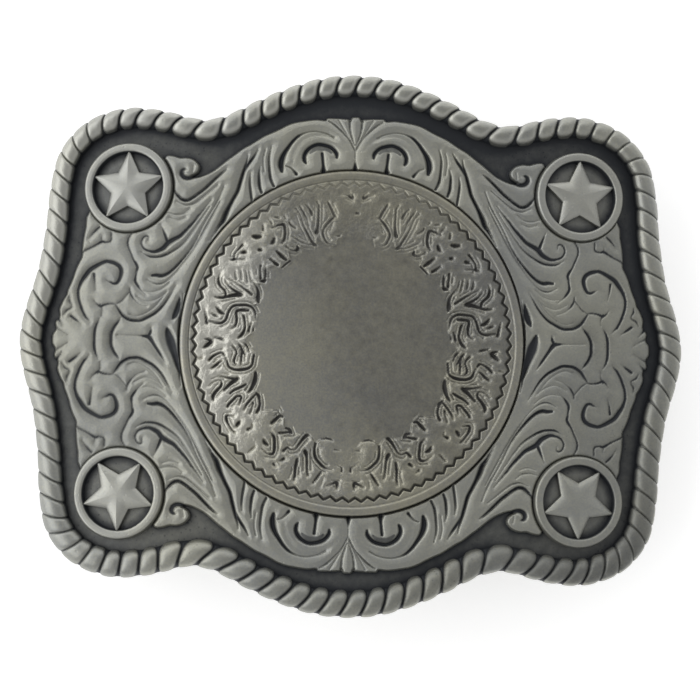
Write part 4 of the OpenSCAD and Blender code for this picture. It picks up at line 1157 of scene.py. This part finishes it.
# The wreath was cut by hand, so between its two circles the leaves are uneven as well
disc_tree = disc_metal.node_tree
disc_shader = disc_tree.nodes["Principled BSDF"].inputs
disc_flat = add_node(disc_tree, "ShaderNodeMapping", {
    "Vector": object_place(disc_tree), "Scale": (1.0, 1.0, 0.0)}).outputs[0]
disc_reach = add_node(disc_tree, "ShaderNodeVectorMath", {0: disc_flat},
                      operation="LENGTH").outputs["Value"]
wreath_zone = reckoned(disc_tree, "MULTIPLY", ranged(disc_tree, disc_reach, *WREATH_STARTS),
                       ranged(disc_tree, disc_reach, *WREATH_ENDS, 1.0, 0.0))
hand_cut = reckoned(disc_tree, "MULTIPLY", noise(disc_tree, disc_flat, 1900.0, 3.0, 0.6),
                    wreath_zone)
hand_relief = add_node(disc_tree, "ShaderNodeBump", {
    "Height": hand_cut, "Distance": HAND_CUT_H, "Strength": 0.8,
    "Normal": disc_shader["Normal"].links[0].from_socket})
set_sockets(disc_tree, disc_shader, {"Normal": hand_relief.outputs[0]})
finish_piece(round_piece("engraved_medallion", disc_radius, disc_height, disc_dark,
                         MEDALLION_COLUMNS), disc_metal, "medallion")

# Belt loop and hook post
# Plain drawn wire and a plain turned stud, both dull grey plated, as packed.
def plated(name, colour, roughness, streak, cloud_scale):
    """Dull grey plate on plain steel: its tone and its gloss wander a little with the cloud, and
    fine draw marks lie along the width."""
    material, tree, shader = new_material(name)
    wear = add_node(tree, "ShaderNodeGroup", node_tree=wear_group)
    set_sockets(tree, wear.inputs, {"Cloud scale": cloud_scale, "Streak": streak})
    cloud = wear.outputs["Cloud"]
    low, high = [tuple(part * change for part in colour) for change in (0.78, 1.16)]
    marks = add_node(tree, "ShaderNodeBump", {
        "Height": wear.outputs["Height"], "Distance": GRAIN_H, "Strength": 0.5})
    set_sockets(tree, shader, {
        "Base Color": mixed(tree, cloud, low, high),
        "Roughness": ranged(tree, cloud, 0.0, 1.0, roughness - 0.08, roughness + 0.1),
        "Normal": marks.outputs[0],
        "Metallic": 0.9})
    return material


for node, finish in (("belt_loop", plated("plain_wire", (0.5, 0.5, 0.47), 0.34, 0.9, 120.0)),
                     ("hook_post", plated("plain_stud", (0.5, 0.5, 0.48), 0.3, 0.2, 200.0))):
    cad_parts[node].material_slots[0].material = finish

# Studio
# A light table under a soft, dimmer sky, with four broad light panels round it, the left one the
# brightest. The flat of the metal takes its grey from the sky, and what is tilted takes the panels'
# light.
FLOOR_HALF = 2
SKY_STRENGTH = 0.385
floor_mesh = bpy.data.meshes.new("floor")
floor_mesh.from_pydata([(x * FLOOR_HALF, y * FLOOR_HALF, 0) for x, y in
                        ((-1, -1), (1, -1), (1, 1), (-1, 1))], [], [(0, 1, 2, 3)])
floor = bpy.data.objects.new("floor", floor_mesh)
bpy.context.scene.collection.objects.link(floor)
floor_paint, floor_tree, floor_shader = new_material("floor_paint")
set_sockets(floor_tree, floor_shader, {
    "Base Color": (0.9, 0.9, 0.9, 1), "Roughness": 0.8, "Emission Color": (1, 1, 1, 1),
    "Emission Strength": 0.5})
floor_mesh.materials.append(floor_paint)

world = bpy.data.worlds.new("soft_sky")
world.use_nodes = True
set_sockets(world.node_tree, world.node_tree.nodes["Background"].inputs, {
    "Color": (1, 1, 1, 1), "Strength": SKY_STRENGTH})
bpy.context.scene.world = world
bpy.context.scene.view_settings.view_transform = "Standard"


def soft_panel(name, place, brightness):
    """A wide, low lamp that stands upright beside the floor's middle and faces it. Its power is its
    brightness times pi times its area, so that a larger panel isn't a brighter one."""
    lamp = bpy.data.lights.new(name, "AREA")
    lamp.shape = "RECTANGLE"
    lamp.size = 1.4
    lamp.size_y = 0.8
    lamp.energy = brightness * np.pi * lamp.size * lamp.size_y
    holder = bpy.data.objects.new(name, lamp)
    holder.location = place
    holder.rotation_euler = Vector(-np.array(place, float)).to_track_quat("-Z", "Y").to_euler()
    bpy.context.scene.collection.objects.link(holder)


soft_panel("panel_left", (-0.8, 0.05, 0.52), 1.55)
soft_panel("panel_front", (0, -0.8, 0.45), 0.22)
soft_panel("panel_right", (0.8, 0, 0.45), 0.2)
soft_panel("panel_back", (0, 0.8, 0.45), 0.85)

# Camera
# It stands where the photograph was taken, over the middle, leaning a little to one side. The
# buckle's middle lies a little off the picture's: the offset is in the picture's own points.
MIDDLE_SEEN = np.array([1.65, 7.48, 0])
POINTS_PER_MM = 6.944
ROLL, PITCH, YAW = np.radians([1.11, -4.98, 0.57])
camera_data = bpy.data.cameras.new("camera")
camera_data.sensor_width = 36
camera_data.lens = 71.42
camera_data.clip_start = 0.01
camera = bpy.data.objects.new("camera", camera_data)
turn_roll = np.array([[np.cos(ROLL), np.sin(ROLL), 0], [-np.sin(ROLL), np.cos(ROLL), 0], [0, 0, 1]])
turn_pitch = np.array([[1, 0, 0], [0, np.cos(PITCH), -np.sin(PITCH)],
                       [0, np.sin(PITCH), np.cos(PITCH)]])
turn_yaw = np.array([[np.cos(YAW), 0, np.sin(YAW)], [0, 1, 0], [-np.sin(YAW), 0, np.cos(YAW)]])
to_camera = turn_roll @ turn_pitch @ turn_yaw
eye = to_camera.T @ (np.array([0, 0, CAMERA_FAR]) - MIDDLE_SEEN / POINTS_PER_MM)
eye += np.array([0, 0, GROUND_Z])
camera.matrix_world = Matrix.Translation(eye * MM) @ Matrix(to_camera.T.tolist()).to_4x4()
bpy.context.scene.collection.objects.link(camera)
bpy.context.scene.camera = camera
